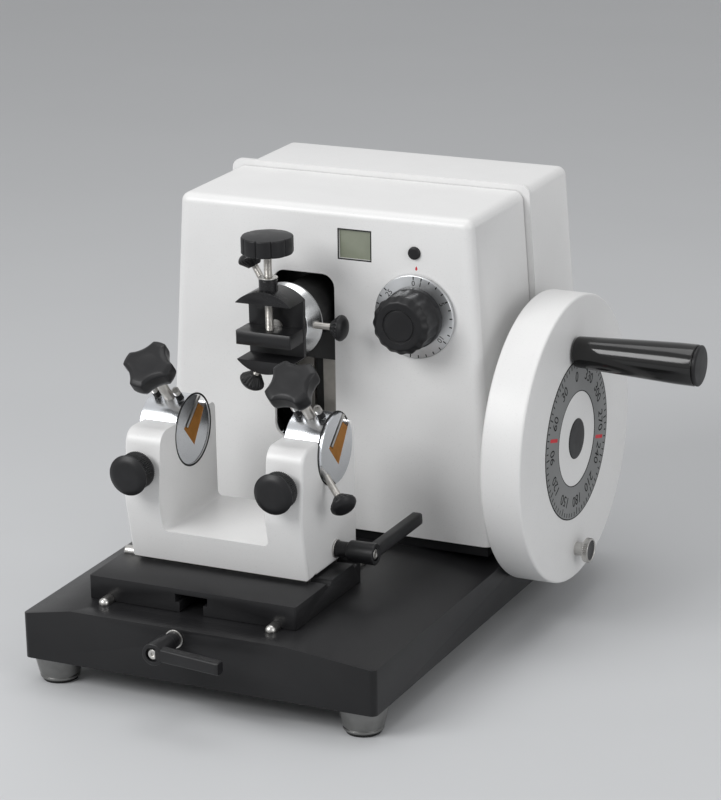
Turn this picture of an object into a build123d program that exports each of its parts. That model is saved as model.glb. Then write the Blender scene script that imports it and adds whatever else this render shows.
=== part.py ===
"""Rotary microtome: a bench machine that shaves thin slices off a clamped specimen.

The handwheel turns a crank, the crank lifts and drops the specimen head past the
knife holder, and a feed screw pushes the head forward a few microns each turn.

Working frame while modelling: X to the right (handwheel side), Y to the back,
Z up, with X = 0 at the middle of the base, Y = 0 at its front face and Z = 0 on
the table. At the end everything moves so that the origin is below the middle of
the whole machine.
"""
import math
import os

from build123d import *

# Base plate and feet
BASE_W = 270.0
BASE_D = 396.0
BASE_LOW = 19.3
BASE_EDGE = 51.8
DECK = 59.0
DECK_LEFT = 96.5
DECK_RIGHT = 68.2
BASE_CORNER = 4.5
BASE_RIB = 10.0
BASE_POCKET_TOP = 44.0
BASE_BOSS = 36.0
FOOT_X = 117.6
FOOT_FRONT_Y = 17.9
FOOT_REAR_INSET = 18.0
FOOT_TOP_R = 17.1
FOOT_LOW_R = 13.0
PAD_H = 2.2
PAD_R = 12.4

# Fits
RUN = 0.05
GAP = 0.3

# Machine axis: the line of the specimen head, the saddle and the T-slot
AXIS_X = -16.5

# Casing
CASE_LOW = 67.0
CASE_TOP = 304.8
CASE_W_LOW = 261.4
CASE_W_TOP = 230.4
CASE_FRONT_LOW = 204.7
CASE_FRONT_TOP = 209.2
CASE_SPLIT = 301.8
CASE_REAR_LOW = 392.0
CASE_REAR_TOP = 388.9
CASE_WALL = 3.0
CASE_EDGE_R = 7.0
RIM_OUT = 4.6
RIM_T = 4.0
SPLIT_GAP = 0.8
WINDOW_W = 49.4
WINDOW_LOW = 130.0
WINDOW_HIGH = 255.7
WINDOW_R = 10.0
DISPLAY_X = 25.2
DISPLAY_Z = 279.2
DISPLAY_W = 24.7
DISPLAY_H = 20.8
DISPLAY_SINK = 1.8
BUTTON_X = 71.9
BUTTON_Z = 277.9
BUTTON_R = 4.5

# Micron dial
DIAL_X = 72.6
DIAL_Z = 232.4
DIAL_R = 30.4
DIAL_T = 3.0
DIAL_STAND = 0.6
KNOB_R = 22.0
KNOB_LEN = 26.0
KNOB_FLANGE_R = 24.0
KNOB_FLANGE_T = 8.0
KNOB_LOBES = 12
DIAL_SHAFT_R = 4.0
DIAL_BUSH_R = 9.0
CAM_Y = 340.0
CAM_T = 5.0
CAM_SMALL_R = 9.0
CAM_LARGE_R = 24.0

# Saddle and its rods
ROD_R = 4.0
ROD_Z = 60.0
ROD_SPAN = 129.0
ROD_TIP_Y = 17.0
ROD_END_Y = 203.0
SADDLE_W = 160.0
SADDLE_Y0 = 28.0
SADDLE_Y1 = 130.0
SADDLE_TOP = 76.0
SLOT_HEAD_W = 25.0
SLOT_NECK_W = 18.4
SLOT_SHOULDER_Z = 66.3
SLOT_ROOF_Z = 72.2
CROSS_FRONT_Y = 79.5
CROSS_REAR_Y = 121.5
CROSS_Z = 76.6

# Knife holder
HOLD_X0 = -85.2
HOLD_X1 = 53.0
HOLD_LOW = 78.3
HOLD_FLOOR = 101.5
HOLD_TOP = 172.5
HOLD_TOE_Y = 69.5
HOLD_BELLY_Y = 60.5
HOLD_BELLY_Z = 124.0
HOLD_BROW_Y = 66.0
HOLD_REAR_Y = 146.0
TOWER_W = 28.0
HOLD_EDGE_R = 2.5
HOLD_BROW_R = 11.0

# Knife drums
DRUM_Y = 113.2
DRUM_Z = 161.0
DRUM_R = 25.0
DRUM_PROUD = 2.0
DRUM_SUNK = 0.8
TILT = 41.5
SLOT_WALL_N = 10.8
SLOT_FLOOR_T = -6.5
SLOT_HEEL_N = -10.5
SLOT_LIP_N = -2.2
SLOT_LIP_T = 26.0
PLATE_T = 2.6
PLATE_LOW_N = 5.4
STAR_T = 10.5
STAR_STUD_R = 3.75
STAR_LOW_N = 55.0
STAR_H = 13.5
STAR_R = 19.6
STAR_WAIST_R = 14.6
STAR_HUB_R = 7.5
STAR_HUB_H = 4.5
LEFT_LOBES = 5
RIGHT_LOBES = 7
FLANK_X = 9.0
FLANK_R = 1.5
FLANK_HEAD_R = 2.7
FLANK_HEAD_H = 4.0
FLANK_HEAD_N = 30.5
LOCK_Z = 147.0
LOCK_R = 15.0
LOCK_DEPTH = 13.5
LOCK_STAND = 1.2
LOCK_STUD_R = 4.0
FACET = 5.0
THUMB_R = 8.8
THUMB_LEN = 11.0
THUMB_STEM_R = 2.5
PAD_SCREW_X = 53.6
PAD_SCREW_RADIAL = 21.4
PAD_SCREW_OUT = 20.0

# Clamping levers
LEVER_SHAFT_R = 4.0
LEVER_HUB_R = 7.6
LEVER_HUB_LEN = 30.0
LEVER_COLLAR_R = 6.8
LEVER_COLLAR_LEN = 11.0
LEVER_RING_R = 7.8
LEVER_RING_T = 1.4
LEVER_ARM_H0 = 9.0
LEVER_ARM_H1 = 13.0
LEVER_ARM_T = 8.0
LEVER_LEAN = 8.0
FRONT_LEVER_X = -14.6
FRONT_LEVER_Z = 51.9
FRONT_REACH = 54.0
SIDE_LEVER_Y = 112.0
SIDE_LEVER_Z = 88.0
SIDE_REACH = 64.0

# Specimen head
HEAD_Z = 226.6
CUP_Y0 = 173.8
CUP_Y1 = 184.4
CUP_R = 27.7
NECK_R = 21.5
BALL_R = 18.0
BALL_Y = 180.0
BALL_FIT = 0.1
STEM_R = 8.0
CLAMP_Y0 = 145.5
CLAMP_Y1 = 169.5
CLAMP_R = 30.0
CLAMP_FLAT = 21.5
CLAMP_MOUTH = 20.5
CLAMP_BACK = 4.0
JAW_H = 10.0
JAW_DROP = 9.4
JAW_Y0 = 144.6
JAW_SCREW_R = 3.0
JAW_SCREW_Y = 155.5
BUSH_R = 6.8
BUSH_TOP = 38.2
JAW_KNOB_LOW = 56.0
JAW_KNOB_H = 13.5
JAW_KNOB_R = 18.6
CUP_SCREW_Y = 178.5
CUP_SCREW_OUT = (44.5, 49.5, 52.0)

# Vertical slide and feed carriage, inside the casing
SLIDE_Y0 = 233.0
SLIDE_Y1 = 246.0
SLIDE_W = 74.0
SLIDE_LOW = 184.0
SLIDE_HIGH = 262.0
COLUMN_Y0 = 250.0
COLUMN_Y1 = 266.0
COLUMN_W = 60.0
STRIP_T = 3.5
STRIP_W = 14.0
GIB_T = 6.5
RIB_T = 10.0
RIB_CLEAR = 2.8
RIB_REACH = 26.0
RIB_RISE = 80.0
CARRIAGE_LOW = 70.0
CARRIAGE_HIGH = 88.0
CARRIAGE_Y0 = 243.0
CARRIAGE_Y1 = 322.0
CARRIAGE_HALF = 53.0
RAIL_R = 6.0
RAIL_Z = 79.0
RAIL_OFF = 44.0
FEED_Z = 100.0
FEED_R = 5.0
NUT_R = 9.0
NUT_Y0 = 306.0
NUT_Y1 = 322.0
GEAR_APEX_Y = 337.5
GEAR_TEETH = 16
GEAR_PITCH_R = 12.0
GEAR_FACE = 0.55
RATCHET_Y = 358.5
RATCHET_T = 4.0
RATCHET_R = 27.0
RATCHET_TEETH = 60
RATCHET_DEPTH = 1.5
REAR_POST_Y = 372.0
REAR_POST_T = 10.0

# Crank and handwheel
WHEEL_Y = 275.3
WHEEL_Z = 132.4
WHEEL_X0 = 137.0
WHEEL_X1 = 167.6
WHEEL_R = 104.9
WHEEL_EDGE_R = 5.0
WHEEL_HUB_CAP_R = 14.9
SHAFT_R = 8.0
CRANK_R = 30.0
CRANK_PIN_R = 5.0
CRANK_DISC_R = 40.0
CRANK_DISC_X0 = 28.0
CRANK_DISC_T = 9.0
YOKE_X0 = 14.5
YOKE_T = 9.5
YOKE_BLOCK_H = 16.0
YOKE_BLOCK_L = 18.0
YOKE_RIM = 4.0
FEED_TRAVEL = 20.0
HANDLE_RADIUS = 66.6
HANDLE_Y_OFF = -3.3
GRIP_X0 = 169.0
GRIP_LEN = 97.0
GRIP_R0 = 10.4
GRIP_R1 = 14.6
SPINDLE_R = 5.0
LOCK_SCREW_R = 84.4
LOCK_SHANK_R = 5.0
LOCK_PIN_R = 2.5
LOCK_KNURL_R = 9.0
LOCK_KNURL_T = 6.6
LOCK_OUT = 7.4
WALL_A_X0 = 48.0
WALL_B_X0 = 96.0
WALL_T = 13.0
BEARING_R = 17.0

# Coarse feed wheel on the left side
COARSE_X0 = -140.0
COARSE_T = 12.0
COARSE_R = 27.0
COARSE_SHAFT_R = 5.0

# Values worked out from those above
TOWER_L = HOLD_X0 + TOWER_W / 2
TOWER_R = HOLD_X1 - TOWER_W / 2
DRUM_LEN = TOWER_W + DRUM_PROUD - DRUM_SUNK
HOLD_MID = (HOLD_X0 + HOLD_X1) / 2
DRUM_L_X0 = HOLD_X0 - DRUM_PROUD
DRUM_R_X1 = HOLD_X1 + DRUM_PROUD
HANDLE_Y = WHEEL_Y + HANDLE_Y_OFF
HANDLE_Z = WHEEL_Z + HANDLE_RADIUS
GRIP_X1 = GRIP_X0 + GRIP_LEN
PIN_Z = WHEEL_Z + CRANK_R
LEVER_TIP_Y = -(LEVER_RING_T + LEVER_HUB_LEN)
X_MIN = COARSE_X0 - COARSE_T
X_MAX = GRIP_X1
ORIGIN_X = (X_MIN + X_MAX) / 2
COS_T = math.cos(math.radians(TILT))
SIN_T = math.sin(math.radians(TILT))


# Shape helpers
def block(x0, x1, y0, y1, z0, z1):
    """Box between two corners."""
    size = Box(x1 - x0, y1 - y0, z1 - z0)
    return Pos((x0 + x1) / 2, (y0 + y1) / 2, (z0 + z1) / 2) * size


def rod_x(r, x0, x1, y, z):
    """Cylinder along X."""
    return Pos((x0 + x1) / 2, y, z) * Rot(0, 90, 0) * Cylinder(r, x1 - x0)


def rod_y(r, y0, y1, x, z):
    """Cylinder along Y."""
    return Pos(x, (y0 + y1) / 2, z) * Rot(90, 0, 0) * Cylinder(r, y1 - y0)


def rod_z(r, z0, z1, x, y):
    """Cylinder along Z."""
    return Pos(x, y, (z0 + z1) / 2) * Cylinder(r, z1 - z0)


def prism_x(points, x0, x1):
    """Outline in (Y, Z), carried along X."""
    face = Plane.YZ * make_face(Polyline(*points, close=True))
    return Pos(x0, 0, 0) * extrude(face, x1 - x0, dir=(1, 0, 0))


def prism_y(points, y0, y1):
    """Outline in (X, Z), carried along Y."""
    face = Plane.XZ * make_face(Polyline(*points, close=True))
    return Pos(0, y0, 0) * extrude(face, y1 - y0, dir=(0, 1, 0))


def turned_y(profile, x, z):
    """Profile of (radius, Y) points, turned about a line along Y."""
    face = make_face(Polyline(*profile, close=True))
    return Pos(x, 0, z) * revolve(face, Axis.Y)


def turned_x(profile, y, z):
    """Profile of (X, radius) points, turned about a line along X."""
    face = make_face(Polyline(*profile, close=True))
    return Pos(0, y, z) * revolve(face, Axis.X)


def round_end_rod_y(r, y0, y1, x, z):
    """Rod along Y whose front end is a half ball."""
    return rod_y(r, y0 + r, y1, x, z) + Pos(x, y0 + r, z) * Sphere(r)


def lobed_knob(core_r, tip_r, lobes, height):
    """Star grip along +Z from Z = 0: a round core with rounded lobes."""
    lobe_r = (tip_r - core_r) * 1.15
    outline = Circle(core_r)
    for spot in PolarLocations(tip_r - lobe_r, lobes):
        outline += spot * Circle(lobe_r)
    body = extrude(outline, height)
    return chamfer(body.faces().sort_by(Axis.Z)[-1].edges(), 1.2)


def thumb_knob():
    """Small fluted thumb knob along +Z from Z = 0, with a domed end."""
    neck = THUMB_R * 0.62
    profile = [
        (0, 0),
        (neck, 0),
        (THUMB_R, THUMB_LEN * 0.35),
        (THUMB_R, THUMB_LEN * 0.75),
        (THUMB_R * 0.7, THUMB_LEN * 0.95),
        (0, THUMB_LEN),
    ]
    face = Plane.XZ * make_face(Polyline(*profile, close=True))
    return revolve(face, Axis.Z)


def aimed(start, direction):
    """Place whose Z runs along a direction from a start point."""
    return Plane(origin=start, z_dir=direction).location


# Base
def make_base_plate():
    """Cast base, hollow below, whose top falls away to both sides of a level deck."""
    half = BASE_W / 2
    outline = [
        (-half, BASE_LOW),
        (half, BASE_LOW),
        (half, BASE_EDGE),
        (DECK_RIGHT, DECK),
        (-DECK_LEFT, DECK),
        (-half, BASE_EDGE),
    ]
    slab = prism_y(outline, 0, BASE_D)
    slab = fillet(slab.edges().filter_by(Axis.Z), BASE_CORNER)
    for rib_x, rib_y in ((BASE_RIB, BASE_BOSS), (BASE_BOSS, BASE_RIB)):
        slab -= block(-half + rib_x, half - rib_x, rib_y, BASE_D - rib_y, 0, BASE_POCKET_TOP)
    for side in (-1, 1):
        x = AXIS_X + side * ROD_SPAN / 2
        slab -= round_end_rod_y(ROD_R, ROD_TIP_Y, ROD_END_Y, x, ROD_Z)
    slab -= rod_y(LEVER_SHAFT_R + RUN, -1, T_BOLT_Y + 10, FRONT_LEVER_X, FRONT_LEVER_Z)
    slab -= rod_z(T_STEM_R + GAP, T_BOLT_LOW - 1, DECK + 1, FRONT_LEVER_X, T_BOLT_Y)
    slab -= rod_x(LOCK_PIN_R + 2 * GAP, half - 12, half + 1, WHEEL_Y, WHEEL_Z - LOCK_SCREW_R)
    return slab


def foot_places():
    """The four foot centres."""
    return [
        (side * FOOT_X, y)
        for side in (-1, 1)
        for y in (FOOT_FRONT_Y, BASE_D - FOOT_REAR_INSET)
    ]


def make_feet():
    """Turned cone feet."""
    profile = [(0, PAD_H), (FOOT_LOW_R, PAD_H), (FOOT_TOP_R, BASE_LOW), (0, BASE_LOW)]
    cone = revolve(Plane.XZ * make_face(Polyline(*profile, close=True)), Axis.Z)
    return Compound([Pos(x, y, 0) * cone for x, y in foot_places()])


def make_foot_pads():
    """Rubber discs under the feet."""
    return Compound([rod_z(PAD_R, 0, PAD_H, x, y) for x, y in foot_places()])


# Saddle clamp
T_BOLT_Y = 75.0
T_STEM_R = 6.0
T_BOLT_LOW = 38.0


def make_t_bolt():
    """T-bolt held by the front lever's shaft; its head rides in the saddle slot."""
    stem = rod_z(T_STEM_R, T_BOLT_LOW, SLOT_SHOULDER_Z + 1, FRONT_LEVER_X, T_BOLT_Y)
    head_half = SLOT_HEAD_W / 2 - 1.6
    head = block(
        AXIS_X - head_half, AXIS_X + head_half, T_BOLT_Y - 11, T_BOLT_Y + 11,
        SLOT_SHOULDER_Z + GAP, SLOT_ROOF_Z - GAP,
    )
    cross = rod_y(LEVER_SHAFT_R + RUN, T_BOLT_Y - 20, T_BOLT_Y + 20, FRONT_LEVER_X, FRONT_LEVER_Z)
    return stem + head - cross


def make_saddle():
    """Block that slides on the two rods, slotted below for the T-bolt."""
    x0 = AXIS_X - SADDLE_W / 2
    x1 = AXIS_X + SADDLE_W / 2
    body = block(x0, x1, SADDLE_Y0, SADDLE_Y1, DECK + GAP, SADDLE_TOP)
    body = fillet(body.edges().filter_by(Axis.Z), 1.5)
    neck = SLOT_NECK_W / 2
    head = SLOT_HEAD_W / 2
    reach = (SADDLE_Y0 - 1, SADDLE_Y1 + 1)
    body -= block(AXIS_X - neck, AXIS_X + neck, *reach, DECK, SLOT_SHOULDER_Z + 1)
    body -= block(AXIS_X - head, AXIS_X + head, *reach, SLOT_SHOULDER_Z, SLOT_ROOF_Z)
    for side in (-1, 1):
        x = AXIS_X + side * ROD_SPAN / 2
        body -= rod_y(ROD_R + RUN, *reach, x, ROD_Z)
    for y in (CROSS_FRONT_Y, CROSS_REAR_Y):
        body -= rod_x(ROD_R, x0 - 1, x1 + 1, y, CROSS_Z)
    mid = CLAMP_BOLT_X
    body -= block(mid - 17, mid + 17, SIDE_LEVER_Y - 5, SIDE_LEVER_Y + 5, 70, SADDLE_TOP + 1)
    body -= block(mid - 21, mid + 21, SIDE_LEVER_Y - 8, SIDE_LEVER_Y + 8, 66, 71)
    return body


CLAMP_BOLT_X = 25.0


def make_cross_rods():
    """Two rods across the saddle, each with half-ball ends."""
    x0 = AXIS_X - SADDLE_W / 2
    x1 = AXIS_X + SADDLE_W / 2
    rods = []
    for y in (CROSS_FRONT_Y, CROSS_REAR_Y):
        rod = rod_x(ROD_R, x0 + 3, x1 - 3, y, CROSS_Z)
        rod += Pos(x0 + 3, y, CROSS_Z) * Sphere(ROD_R)
        rod += Pos(x1 - 3, y, CROSS_Z) * Sphere(ROD_R)
        rods.append(rod)
    return Compound(rods)


def make_holder_bolt():
    """T-bolt of the knife holder, pulled up by the side lever's shaft."""
    head = block(
        CLAMP_BOLT_X - 6, CLAMP_BOLT_X + 6, SIDE_LEVER_Y - 7, SIDE_LEVER_Y + 7,
        66 + GAP, 71 - GAP,
    )
    stem = rod_z(4.6, 70, SIDE_LEVER_Z + 8, CLAMP_BOLT_X, SIDE_LEVER_Y)
    cross = rod_x(LEVER_SHAFT_R + RUN, CLAMP_BOLT_X - 8, CLAMP_BOLT_X + 8, SIDE_LEVER_Y, SIDE_LEVER_Z)
    return head + stem - cross


# Knife holder
def make_knife_holder():
    """U-shaped casting: a leaning front, two towers and a bore for each drum."""
    outline = Polyline(
        (HOLD_TOE_Y, HOLD_LOW),
        (HOLD_BELLY_Y, HOLD_BELLY_Z),
        (HOLD_BROW_Y, HOLD_TOP),
        (HOLD_REAR_Y, HOLD_TOP),
        (HOLD_REAR_Y, HOLD_LOW),
        close=True,
    )
    face = make_face(outline)
    face = fillet(nearest(face, HOLD_BROW_Y, HOLD_TOP), HOLD_BROW_R)
    face = fillet(nearest(face, HOLD_REAR_Y, HOLD_TOP), 5)
    face = fillet(nearest(face, HOLD_BELLY_Y, HOLD_BELLY_Z), 40)
    body = Pos(HOLD_X0, 0, 0) * extrude(Plane.YZ * face, HOLD_X1 - HOLD_X0, dir=(1, 0, 0))
    ends = body.faces().sort_by(Axis.X)
    body = fillet(ends[0].edges() + ends[-1].edges(), HOLD_EDGE_R)
    gap = block(
        HOLD_X0 + TOWER_W, HOLD_X1 - TOWER_W, HOLD_BELLY_Y - 20, HOLD_REAR_Y + 20,
        HOLD_FLOOR, HOLD_TOP + 20,
    )
    gap = fillet(gap.edges().filter_by(Axis.Y).sort_by(Axis.Z)[:2], 4)
    body -= gap
    body -= rod_x(DRUM_R + RUN, HOLD_X0 - 1, HOLD_X1 + 1, DRUM_Y, DRUM_Z)
    for x in (TOWER_L, TOWER_R):
        body -= rod_y(LOCK_STUD_R + RUN, HOLD_BELLY_Y - 5, DRUM_Y, x, LOCK_Z)
    for y in (CROSS_FRONT_Y, CROSS_REAR_Y):
        body -= rod_x(ROD_R + RUN, HOLD_X0 - 1, HOLD_X1 + 1, y, CROSS_Z)
    body -= rod_x(LEVER_SHAFT_R + RUN, CLAMP_BOLT_X - 9, HOLD_X1 + 1, SIDE_LEVER_Y, SIDE_LEVER_Z)
    body -= rod_z(4.6, HOLD_LOW - 1, SIDE_LEVER_Z + 8, CLAMP_BOLT_X, SIDE_LEVER_Y)
    return body


def nearest(face, x, y):
    """The face's corner nearest to a point."""
    return min(face.vertices(), key=lambda v: (v.X - x) ** 2 + (v.Y - y) ** 2)


# Knife drums
def drum_point(n, t):
    """(Y, Z) of a point given across (n) and along (t) the tilted knife slot."""
    return (DRUM_Y - n * SIN_T + t * COS_T, DRUM_Z + n * COS_T + t * SIN_T)


def drum_place(x, n, t):
    """Place at a drum point whose Z runs outward through the star screw."""
    y, z = drum_point(n, t)
    return Plane(origin=(x, y, z), x_dir=(1, 0, 0), z_dir=(0, -SIN_T, COS_T)).location


def slot_outline(points, x0, x1):
    """Outline in (n, t), carried along X."""
    return prism_x([drum_point(n, t) for n, t in points], x0, x1)


def make_drum(x0):
    """Chromed drum with the wedge slot for the knife."""
    x1 = x0 + DRUM_LEN
    mid = tower_of(x0)
    drum = rod_x(DRUM_R, x0, x1, DRUM_Y, DRUM_Z)
    drum = chamfer(drum.edges(), 0.5)
    wedge = [
        (SLOT_WALL_N, SLOT_FLOOR_T),
        (SLOT_HEEL_N, SLOT_FLOOR_T),
        (SLOT_LIP_N, SLOT_LIP_T),
        (SLOT_WALL_N, SLOT_LIP_T),
    ]
    drum -= slot_outline(wedge, x0 - 1, x1 + 1)
    drum -= drum_place(mid, SLOT_WALL_N - 1, STAR_T) * Pos(0, 0, 10) * Cylinder(STAR_STUD_R + RUN, 20)
    for side in (-1, 1):
        hole = Pos(0, 0, 10) * Cylinder(FLANK_R + RUN, 20)
        drum -= drum_place(mid + side * FLANK_X, SLOT_WALL_N - 1, STAR_T) * hole
    return drum


def tower_of(x0):
    """Middle of the tower that holds the drum starting at x0."""
    return TOWER_L if x0 < AXIS_X else TOWER_R


def pad_screw_place():
    """Start and direction of the slanting pad screw on the right drum."""
    along = math.sqrt(0.5)
    out = (along, -along * math.sin(PAD_ANGLE), -along * math.cos(PAD_ANGLE))
    start = (
        PAD_SCREW_X,
        DRUM_Y - PAD_SCREW_RADIAL * math.sin(PAD_ANGLE),
        DRUM_Z - PAD_SCREW_RADIAL * math.cos(PAD_ANGLE),
    )
    return start, out


PAD_ANGLE = math.radians(42.3)


def make_right_drum():
    """Right drum: the same, with a slanting facet for the pad screw."""
    drum = make_drum(DRUM_R_X1 - DRUM_LEN)
    start, out = pad_screw_place()
    place = aimed(start, out)
    drum -= place * Pos(0, 0, 15) * Box(60, 60, 30)
    drum -= place * Pos(0, 0, -6) * Cylinder(THUMB_STEM_R + RUN, 13)
    return drum


def make_pad(x0):
    """Wedge pad that the knife's back rests on."""
    low = PLATE_LOW_N - GAP
    points = [
        (SLOT_WALL_N, SLOT_FLOOR_T),
        (SLOT_WALL_N, SLOT_FLOOR_T + 2.4),
        (low, SLOT_FLOOR_T + 3.6),
        (low - 0.5, 18.9),
        (slot_right(20.4), 20.4),
        (SLOT_HEEL_N, SLOT_FLOOR_T),
    ]
    return slot_outline(points, x0 + 0.4, x0 + DRUM_LEN - 0.4)


def slot_right(t):
    """n of the slot's slanting wall at a given t."""
    share = (t - SLOT_FLOOR_T) / (SLOT_LIP_T - SLOT_FLOOR_T)
    return SLOT_HEEL_N + share * (SLOT_LIP_N - SLOT_HEEL_N)


def make_plate(x0):
    """Pressure plate with the two flank screws that carry it."""
    points = [
        (PLATE_LOW_N, SLOT_FLOOR_T + 4.2),
        (PLATE_LOW_N + PLATE_T, SLOT_FLOOR_T + 3.6),
        (PLATE_LOW_N + PLATE_T, 23.0),
        (PLATE_LOW_N + PLATE_T - 0.8, 23.9),
        (PLATE_LOW_N, 24.2),
    ]
    plate = slot_outline(points, x0 + 0.4, x0 + DRUM_LEN - 0.4)
    top = PLATE_LOW_N + PLATE_T
    stem_len = FLANK_HEAD_N - top + 1
    mid = tower_of(x0)
    for side in (-1, 1):
        place = drum_place(mid + side * FLANK_X, top - 1, STAR_T)
        plate += place * Pos(0, 0, stem_len / 2) * Cylinder(FLANK_R, stem_len)
        head = Cylinder(FLANK_HEAD_R, FLANK_HEAD_H) - Pos(0, 0, 1.5) * Cylinder(1.3, 2.5)
        plate += place * Pos(0, 0, stem_len + FLANK_HEAD_H / 2) * head
    return plate


def make_star_knob(x0, lobes):
    """Star grip moulded on its threaded stud."""
    mid = tower_of(x0)
    foot = PLATE_LOW_N + PLATE_T + GAP
    place = drum_place(mid, foot, STAR_T)
    stud_len = STAR_LOW_N - foot
    stud = Pos(0, 0, stud_len / 2) * Cylinder(STAR_STUD_R, stud_len)
    hub = Pos(0, 0, stud_len - STAR_HUB_H / 2) * Cylinder(STAR_HUB_R, STAR_HUB_H)
    grip = Pos(0, 0, stud_len) * lobed_knob(STAR_WAIST_R, STAR_R, lobes, STAR_H)
    return place * (stud + hub + grip)


def make_lock_knob(x):
    """Domed knob on the tower front whose stud locks the drum's tilt."""
    front = HOLD_BELLY_Y - LOCK_STAND + 1.5 - LOCK_DEPTH
    back = front + LOCK_DEPTH
    reach = DRUM_Y - math.sqrt(DRUM_R**2 - (DRUM_Z - LOCK_Z - LOCK_STUD_R) ** 2) - GAP
    profile = [
        (0, front),
        (LOCK_R * 0.62, front + 0.7),
        (LOCK_R * 0.9, front + 2.6),
        (LOCK_R, front + 5),
        (LOCK_R, back - 0.8),
        (LOCK_R - 0.8, back),
        (LOCK_STUD_R, back),
        (LOCK_STUD_R, reach),
        (0, reach),
    ]
    return turned_y(profile, x, LOCK_Z)


def make_pad_screw():
    """Thumb screw that holds the right pad."""
    start, out = pad_screw_place()
    place = aimed(start, out)
    stem = Pos(0, 0, (PAD_SCREW_OUT - 9) / 2) * Cylinder(THUMB_STEM_R, PAD_SCREW_OUT + 9)
    return place * (stem + Pos(0, 0, PAD_SCREW_OUT) * thumb_knob())


# Levers
def make_lever(reach):
    """Clamping lever: hub along +Z, arm along +X, leaning away from the hub's foot."""
    ring = Pos(0, 0, LEVER_RING_T / 2) * Cylinder(LEVER_RING_R, LEVER_RING_T)
    base = LEVER_RING_T
    collar = Pos(0, 0, base + LEVER_COLLAR_LEN / 2) * Cylinder(LEVER_COLLAR_R, LEVER_COLLAR_LEN)
    hub_len = LEVER_HUB_LEN - LEVER_COLLAR_LEN
    hub_mid = base + LEVER_COLLAR_LEN + hub_len / 2
    hub = Pos(0, 0, hub_mid) * Cylinder(LEVER_HUB_R, hub_len)
    hub = chamfer(hub.edges(), 0.8)
    mid = base + LEVER_HUB_LEN - LEVER_ARM_T / 2 - 1
    near = Plane(origin=(2, 0, mid), z_dir=(1, 0, 0))
    rise = math.tan(math.radians(LEVER_LEAN)) * reach
    far = Plane(origin=(reach, 0, mid + rise), z_dir=(1, 0, 0))
    arm = loft([
        near * Rectangle(LEVER_ARM_T, LEVER_ARM_H0),
        far * Rectangle(LEVER_ARM_T, LEVER_ARM_H1),
    ])
    arm = fillet(arm.edges().filter_by(lambda e: abs(e.tangent_at(0.5).X) > 0.9), 1.6)
    lever = ring + collar + hub + arm
    return lever - Pos(0, 0, base + LEVER_HUB_LEN) * Cylinder(3.6, 3)


def make_front_lever():
    """Lever on the base front that clamps the saddle."""
    turn = Plane(origin=(FRONT_LEVER_X, 0, FRONT_LEVER_Z), x_dir=(1, 0, 0), z_dir=(0, -1, 0))
    shaft = rod_y(LEVER_SHAFT_R, 0, T_BOLT_Y + 9, FRONT_LEVER_X, FRONT_LEVER_Z)
    return turn.location * make_lever(FRONT_REACH) + shaft


def make_side_lever():
    """Lever on the holder's right side that clamps its sideways slide."""
    turn = Plane(
        origin=(HOLD_X1, SIDE_LEVER_Y, SIDE_LEVER_Z), x_dir=(0, 1, 0), z_dir=(1, 0, 0)
    )
    shaft = rod_x(LEVER_SHAFT_R, CLAMP_BOLT_X - 8, HOLD_X1, SIDE_LEVER_Y, SIDE_LEVER_Z)
    return turn.location * make_lever(SIDE_REACH) + shaft


# Specimen head
def make_specimen_cup():
    """Chromed cup that holds the ball, on a neck that runs back to the slide."""
    profile = [
        (0, CUP_Y0),
        (CUP_R - 1, CUP_Y0),
        (CUP_R, CUP_Y0 + 1),
        (CUP_R, CUP_Y1 - 1),
        (CUP_R - 1, CUP_Y1),
        (NECK_R, CUP_Y1),
        (NECK_R, SLIDE_Y0),
        (0, SLIDE_Y0),
    ]
    cup = turned_y(profile, AXIS_X, HEAD_Z)
    cup -= Pos(AXIS_X, BALL_Y, HEAD_Z) * Sphere(BALL_R + BALL_FIT)
    cup -= rod_y(mouth_radius() + 0.4, CUP_Y0 - 1, CUP_Y0 + 2, AXIS_X, HEAD_Z)
    for angle in (0, 120, 240):
        cup -= cup_screw_place(angle) * Pos(0, 0, 20) * Cylinder(THUMB_STEM_R + RUN, 30)
    return cup


def mouth_radius():
    """Radius of the ball where it leaves the cup's front face."""
    return math.sqrt(BALL_R**2 - (BALL_Y - CUP_Y0) ** 2)


def cup_screw_place(angle):
    """Place on the head's axis whose Z runs out along a cup screw."""
    a = math.radians(angle)
    return Plane(
        origin=(AXIS_X, CUP_SCREW_Y, HEAD_Z), x_dir=(0, 1, 0), z_dir=(math.cos(a), 0, math.sin(a))
    ).location


def make_cup_screw(angle, out):
    """Thumb screw in the cup that locks the ball."""
    inner = math.sqrt(BALL_R**2 - (BALL_Y - CUP_SCREW_Y) ** 2) + GAP
    knob_low = out - THUMB_LEN / 2
    stem_len = knob_low - inner + 1
    stem = Pos(0, 0, inner + stem_len / 2) * Cylinder(THUMB_STEM_R, stem_len)
    return cup_screw_place(angle) * (stem + Pos(0, 0, knob_low) * thumb_knob())


def make_ball():
    """Ball with a flat front and a short stem for the clamp."""
    ball = Pos(AXIS_X, BALL_Y, HEAD_Z) * Sphere(BALL_R)
    flat = CLAMP_Y1 + 2.5
    ball &= block(
        AXIS_X - 30, AXIS_X + 30, flat, BALL_Y + 30, HEAD_Z - 30, HEAD_Z + 30
    )
    ball += rod_y(STEM_R, CLAMP_Y1 + GAP, flat + 1, AXIS_X, HEAD_Z)
    return ball - rod_y(JAW_SCREW_R, CLAMP_Y1, BALL_Y, AXIS_X, HEAD_Z)


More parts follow.
